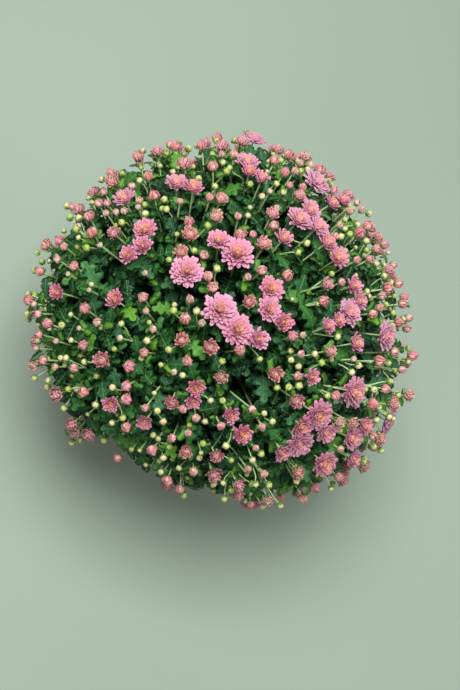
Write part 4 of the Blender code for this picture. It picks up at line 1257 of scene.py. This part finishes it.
petal_coral, nodes, shader = new_finish("petal coral", Specular_IOR_Level=0.25, Sheen_Weight=0.1)
layer, along = nodes.painted("layer"), nodes.painted("along")
opened, tint = nodes.painted("opened"), nodes.painted("tint")
mottle = nodes.noise(HEAD_MOTTLE)
colour = nodes.mix(nodes.blend(tint, *ROSE_BLEND), SALMON, ROSE)
colour = nodes.mix(nodes.blend(layer, *HEART_BLEND), colour, CORAL_HEART)
paleness = SHUT_PALENESS - opened * PALENESS_OPENED - tint * PALENESS_TINT
colour = nodes.mix(nodes.clamped(paleness), colour, PALE_ROSE)
reddened = (RED_REACH - along) * RED_GAIN * (RED_LAYERS - layer)
reddened = reddened * nodes.between(opened, RED_WHILE_SHUT, 1.0)
colour = nodes.mix(nodes.clamped(reddened), colour, SALMON_FOOT)
paled = along ** HEAD_TIP_POWER * nodes.between(layer, *HEAD_TIP_LAYERS)
paled = paled * nodes.between(opened, HEAD_TIP_WHILE_SHUT, 1.0)
paled = nodes.clamped(nodes.varied(paled, PETAL_MOTTLING, mottle))
colour = nodes.mix(paled, colour, SALMON_TIP)
nodes.feed(shader, {"Base Color": colour, "Roughness": nodes.varied(*PETAL_ROUGHNESS, mottle)})


def showing_opened(head):
    """0 for the smallest heads, which are still pale buds, to 1 for those about to open."""
    return share_between(head.radius, SHOWING_RADIUS, OPENING_RADIUS)


opening = [head for head in heads if head.radius > OPENING_RADIUS]
showing = [head for head in heads if head.radius <= OPENING_RADIUS]
flowers(
    "opening_heads", opening, OPENING_PETALS, lambda head: draw.uniform(*OPENING_STAGES), petal_coral,
    "petal", outer_length=1.22, inner_length=1.14, width=0.56, shut_width=0.64, inner_width=0.80,
    taper=0.64, shut_tilt=0.70, open_tilt=1.15, inner_tilt=0.06, tilt_bias=0.95, bulge=0.24,
    inner_bulge=0.8, curl=0.0, cup=0.2, seat=0.40, core_width=0.52, core_height=0.58, segments=3,
)
flowers(
    "showing_heads", showing, SHOWING_PETALS, showing_opened, petal_coral, "petal",
    outer_length=1.85, inner_length=1.7, width=0.66, shut_width=0.72, shut_tilt=0.08,
    open_tilt=0.26, inner_tilt=0.04, tilt_bias=0.8, tilt_scatter=0.07, bulge=0.47, inner_bulge=0.75,
    taper=0.70, curl=-0.02, cup=0.15, seat=0.92, seat_width=0.04, core_width=0.80, core_height=0.80,
    segments=3,
)


# Closed buds. Each is a small globe of shut petals on the end of a thin stalk. The young ones are lime
# green and the ripe ones cream, palest at the top, and a few have a blush of pink.
SHUT, WIDE_OPEN = 0.0, 1.0
BUD_PETALS = 8
CREAM = (0.55, 0.52, 0.25, 1)
BUD_GREEN = (0.31, 0.40, 0.075, 1)
BUD_BLUSH = (0.56, 0.38, 0.26, 1)
BLUSH_BLEND = (1.6, -0.9)
RIPE_ALONG = 1.3
RIPE_TINT = 0.7
UNRIPE = 0.3
BUD_MOTTLING = 0.3
BUD_ROUGHNESS = 0.5

bud_cream, nodes, shader = new_finish("bud cream", Specular_IOR_Level=0.3, Roughness=BUD_ROUGHNESS)
along, tint = nodes.painted("along"), nodes.painted("tint")
ripe = along * RIPE_ALONG + tint * RIPE_TINT - UNRIPE
ripe = nodes.clamped(nodes.varied(ripe, BUD_MOTTLING, nodes.noise(HEAD_MOTTLE)))
colour = nodes.mix(ripe, BUD_GREEN, CREAM)
colour = nodes.mix(nodes.blend(tint, *BLUSH_BLEND), colour, BUD_BLUSH)
nodes.feed(shader, {"Base Color": colour})

flowers(
    "closed_buds", buds, BUD_PETALS, SHUT, bud_cream, "petal", outer_length=1.9, inner_length=1.75,
    width=1.1, shut_width=1.1, inner_width=0.9, shut_tilt=0.06, inner_tilt=0.0, tilt_scatter=0.04,
    bulge=0.48, inner_bulge=0.8, curl=0.0, cup=0.12, taper=0.80, seat=0.95, seat_width=0.0,
    length_scatter=0.03, core_width=0.86, core_height=0.86, segments=2,
)


# Bracts. Under every head sits a cup of small pointed green scales, which grow from the end of the
# stalk and hold the petals together.
BRACTS = 7
BLOOM_CUP = 0.0052
CUP_DROP = 0.002
CUP_SUNK = 0.2
BRACT_GREEN = (0.085, 0.19, 0.035, 1)
BRACT_TIP = (0.22, 0.34, 0.10, 1)
BRACT_PALING = 0.8
BRACT_TINT = 0.2
BRACT_ROUGHNESS = (0.55, 0.60)

bract_green, nodes, shader = new_finish("bract green")
along, tint = nodes.painted("along"), nodes.painted("tint")
paled = nodes.clamped(along * BRACT_PALING + tint * BRACT_TINT)
nodes.feed(shader, {
    "Base Color": nodes.mix(paled, BRACT_GREEN, BRACT_TIP),
    "Roughness": nodes.between(tint, *BRACT_ROUGHNESS),
})
cups = [replace(head, spot=head.spot - head.axis * CUP_DROP, radius=BLOOM_CUP) for head in blooms]
flowers(
    "bloom_bracts", cups, BRACTS, WIDE_OPEN, bract_green, "foliage", sunk=CUP_SUNK, inner_length=0.8,
    width=0.45, notch=0.0, open_tilt=1.5, inner_tilt=0.9, bulge=0.25, curl=0.05, cup=0.15,
    seat=0.30, seat_width=0.15, core_width=0.4, core_height=0.4, core_detail=1, segments=2,
)
flowers(
    "head_bracts", heads, BRACTS, SHUT, bract_green, "foliage", outer_length=1.15, inner_length=0.95,
    shut_width=0.5, notch=0.0, shut_tilt=0.9, inner_tilt=0.75, bulge=0.34, curl=0.02, cup=0.2,
    seat=1.04, seat_width=0.1, core_width=0.25, core_detail=1, segments=2,
)
flowers(
    "bud_bracts", buds, BRACTS, SHUT, bract_green, "foliage", outer_length=1.60, inner_length=1.45,
    shut_width=0.72, inner_width=0.9, notch=0.0, shut_tilt=0.70, inner_tilt=0.66, tilt_scatter=0.04,
    bulge=0.26, inner_bulge=1.0, curl=0.0, cup=0.12, seat=1.02, seat_width=0.08, core_width=0.25,
    core_detail=1, segments=3,
)


# The pot. A plain round plastic pot, thin in the wall, with a rounded rim over a plain band, a foot
# ring and six drain holes. It is moulded in one piece in a matt terracotta colour.
POT_FOOT = 0.072
POT_WALL = 0.0022
BAND_HEIGHT = 0.022
BAND_STEP = 0.003
BAND_TAPER = 0.0015
BAND_UNDERCUT = 0.0015
FOOT_RISE = 0.004
FOOT_RING = 0.008
LIP_ROUND = 0.0011
POT_STEPS = 96
DRAIN_HOLES = 6
DRAIN_CIRCLE = 0.048
DRAIN_RADIUS = 0.0055
DRAIN_SIDES = 24
DRAIN_CUT = 4 * POT_WALL
MERGE_WITHIN = 1e-6
SHARP_ANGLE = math.radians(50)
TERRACOTTA = (0.36, 0.125, 0.065, 1)
TERRACOTTA_PALE = (0.47, 0.20, 0.12, 1)
POT_ROUGHNESS = 0.48
CLOUD_ROUGHNESS = 0.15
DUST_ROUGHNESS = 0.3
CLOUD_PALING = 0.7
UNPALED = 0.1
POT_CLOUDS = (14.0, 4.0)
POT_BUMP = {"Strength": 0.25, "Distance": 0.0004}
POT_GRAIN = 900.0
DUST_HEIGHT = 0.03
DUST_SHARE = 0.4

pot_plastic, nodes, shader = new_finish("pot plastic", Specular_IOR_Level=0.45)
cloud = nodes.noise(*POT_CLOUDS)
height = nodes.add("ShaderNodeSeparateXYZ", {}, {0: nodes.place()}).out("Z")
dust = nodes.clamped(1 - height / DUST_HEIGHT) * DUST_SHARE
paled = nodes.clamped(cloud * CLOUD_PALING + dust - UNPALED)
nodes.feed(shader, {
    "Base Color": nodes.mix(paled, TERRACOTTA, TERRACOTTA_PALE),
    "Roughness": POT_ROUGHNESS + cloud * CLOUD_ROUGHNESS + dust * DUST_ROUGHNESS,
    "Normal": nodes.add("ShaderNodeBump", {}, {**POT_BUMP, "Height": nodes.noise(POT_GRAIN)}),
})


def rounded(corner, before, after, radius):
    """Three points that round a profile's corner between its two neighbours."""
    corner, before, after = Vector(corner), Vector(before), Vector(after)
    start = corner + (before - corner).normalized() * radius
    end = corner + (after - corner).normalized() * radius
    return [start, (start + end + corner * 2) / 4, end]


band_foot = POT_HEIGHT - BAND_HEIGHT
lip_inside = POT_RIM - POT_WALL
floor_top = FOOT_RISE + POT_WALL
# Points of the wall's outline, out from the axis and up: inside, over the lip, down the band to the foot
outline = [
    (0, floor_top), (POT_FOOT - POT_WALL, floor_top), (lip_inside - BAND_STEP, band_foot),
    (lip_inside, POT_HEIGHT), (POT_RIM, POT_HEIGHT), (POT_RIM - BAND_TAPER, band_foot),
    (POT_RIM - BAND_TAPER - BAND_STEP, band_foot - BAND_UNDERCUT), (POT_FOOT, 0.0),
    (POT_FOOT - FOOT_RING, 0.0), (POT_FOOT - FOOT_RING - POT_WALL, FOOT_RISE), (0, FOOT_RISE),
]
profile = [outline[0]]
for before, corner, after in zip(outline, outline[1:], outline[2:]):
    profile += [tuple(point) for point in rounded(corner, before, after, LIP_ROUND)]
profile.append(outline[-1])
mesh = bmesh.new()
points = [mesh.verts.new((x, 0, z)) for x, z in profile]
for a, b in zip(points, points[1:]):
    mesh.edges.new((a, b))
bmesh.ops.spin(
    mesh, geom=mesh.verts[:] + mesh.edges[:], axis=(0, 0, 1), cent=(0, 0, 0), steps=POT_STEPS,
    angle=math.tau, use_merge=True,
)
bmesh.ops.remove_doubles(mesh, verts=mesh.verts, dist=MERGE_WITHIN)
bmesh.ops.recalc_face_normals(mesh, faces=mesh.faces)
for face in mesh.faces:
    face.smooth = True
turned_pot = in_scene(from_bmesh("plant_pot", mesh))
turned_pot.data.materials.append(pot_plastic)
mesh = bmesh.new()
for k in range(DRAIN_HOLES):
    spot = round_axis(DRAIN_CIRCLE, math.tau * k / DRAIN_HOLES, FOOT_RISE)
    bmesh.ops.create_cone(
        mesh, cap_ends=True, segments=DRAIN_SIDES, radius1=DRAIN_RADIUS, radius2=DRAIN_RADIUS,
        depth=DRAIN_CUT, matrix=Matrix.Translation(spot),
    )
drains = in_scene(from_bmesh("drains", mesh))
cut = turned_pot.modifiers.new("drain holes", "BOOLEAN")
cut.operation = "DIFFERENCE"
cut.solver = "EXACT"
cut.object = drains
graph = bpy.context.evaluated_depsgraph_get()
data = bpy.data.meshes.new_from_object(turned_pot.evaluated_get(graph), depsgraph=graph)
bpy.data.objects.remove(turned_pot)
bpy.data.objects.remove(drains)
data.set_sharp_from_angle(angle=SHARP_ANGLE)
data.name = "plant_pot"
settled(in_scene(bpy.data.objects.new("plant_pot", data)), "pot_plastic", "pot")


# Potting soil. The block of dark peat fills the pot to a little under its rim and holds the main stems.
# It keeps its solid, and loose crumbs lie on top of it.
SOIL_TOP = 0.136
CRUMBS = 800
CRUMB_SIZES = (0.0008, 0.0030)
CRUMB_MARGIN = 0.006
CRUMB_SEED = 5
PEAT = (0.020, 0.013, 0.009, 1)
PEAT_DRY = (0.075, 0.050, 0.034, 1)
PEAT_CLODS = (160.0, 6.0)
PEAT_BLEND = (2.0, -0.6)
PEAT_ROUGHNESS = (0.85, 0.95)
PEAT_BUMP = {"Strength": 0.8, "Distance": 0.002}

peat, nodes, shader = new_finish("peat", Specular_IOR_Level=0.2)
clod = nodes.noise(*PEAT_CLODS)
nodes.feed(shader, {
    "Base Color": nodes.mix(nodes.blend(clod, *PEAT_BLEND), PEAT, PEAT_DRY),
    "Roughness": nodes.between(clod, *PEAT_ROUGHNESS),
    "Normal": nodes.add("ShaderNodeBump", {}, {**PEAT_BUMP, "Height": clod}),
})
frame["nodes"]["soil"].data.materials.clear()
frame["nodes"]["soil"].data.materials.append(peat)

nodes, given = new_growth("crumbs", {"Least": CRUMB_SIZES[0], "Most": CRUMB_SIZES[1], "Seed": CRUMB_SEED})
bit = nodes.add("GeometryNodeMeshIcoSphere", {}, {"Radius": 1.0, "Subdivisions": 1})
size = nodes.add(
    "FunctionNodeRandomValue", {"data_type": "FLOAT"},
    {2: given["Least"], 3: given["Most"], "Seed": given["Seed"]}, out=1,
)
spin = nodes.add(
    "FunctionNodeRandomValue", {"data_type": "FLOAT_VECTOR"},
    {0: (0, 0, 0), 1: (math.tau, math.tau, math.tau), "Seed": given["Seed"]},
)
crumbs = nodes.add("GeometryNodeInstanceOnPoints", {}, {
    "Points": given["Geometry"], "Instance": bit,
    "Rotation": nodes.add("FunctionNodeEulerToRotation", {}, {0: spin}), "Scale": size,
})
nodes.finished(crumbs, given["Material"])
reached = POT_RIM - POT_WALL - BAND_STEP - CRUMB_MARGIN
spots = [
    round_axis(reached * math.sqrt(draw.random()), draw.uniform(0, math.tau), SOIL_TOP)
    for _ in range(CRUMBS)
]
settled(grown(seedbed("soil_crumbs", spots), nodes, material=peat), "potting_soil")


# The set. The pot stands on a plain pale floor under four soft lamps, one of them behind it, and the
# camera looks down on the plant from the photograph's place.
FLOOR_SIZE = 6.0
FLOOR_COLOUR = (0.26, 0.325, 0.26, 1)
FLOOR_ROUGHNESS = 0.9
SKY = (0.93, 0.97, 1.0, 1)
SKY_STRENGTH = 0.12
# Name, place, width in metres and power in watts
LAMPS = (
    ("overhead", (-0.45, 0.15, 2.1), 1.1, 63.0),
    ("front", (-1.2, -1.3, 1.3), 1.2, 9.5),
    ("side", (1.7, -0.6, 1.1), 1.0, 12.0),
    ("back", (0.7, 1.7, 1.0), 1.2, 11.0),
)
SENSOR = 36.0
IMAGE_WIDTH, IMAGE_HEIGHT = 460, 690

floor_paint, _, _ = new_finish("floor paint", Base_Color=FLOOR_COLOUR, Roughness=FLOOR_ROUGHNESS)
mesh = bmesh.new()
bmesh.ops.create_grid(mesh, x_segments=1, y_segments=1, size=FLOOR_SIZE / 2)
floor = in_scene(from_bmesh("floor", mesh))
floor.data.materials.append(floor_paint)

world = bpy.data.worlds.new("soft sky")
world.use_nodes = True
sky = world.node_tree.nodes["Background"]
Nodes(world.node_tree).feed(sky, {"Color": SKY, "Strength": SKY_STRENGTH})
bpy.context.scene.world = world
for name, spot, size, power in LAMPS:
    lamp = bpy.data.lights.new(name, "AREA")
    lamp.size = size
    lamp.energy = power
    holder = in_scene(bpy.data.objects.new(name, lamp))
    holder.location = spot
    holder.rotation_mode = "QUATERNION"
    holder.rotation_quaternion = (DOME_MIDDLE - Vector(spot)).to_track_quat("-Z", "Y")

lens = bpy.data.cameras.new("camera")
lens.sensor_width = SENSOR
lens.lens = SENSOR * SIGHT_DISTANCE / (IMAGE_HEIGHT * PIXEL_SIZE)
lens.shift_x = (IMAGE_WIDTH / 2 - MIDDLE_PIXEL[0]) / IMAGE_HEIGHT
lens.shift_y = (MIDDLE_PIXEL[1] - IMAGE_HEIGHT / 2) / IMAGE_HEIGHT
camera = in_scene(bpy.data.objects.new("camera", lens))
looking = Matrix((SIGHT_RIGHT, SIGHT_UP, SIGHT_BACK)).transposed().to_4x4()
camera.matrix_world = Matrix.Translation(EYE) @ looking
bpy.context.scene.camera = camera
bpy.context.scene.view_settings.view_transform = "Standard"
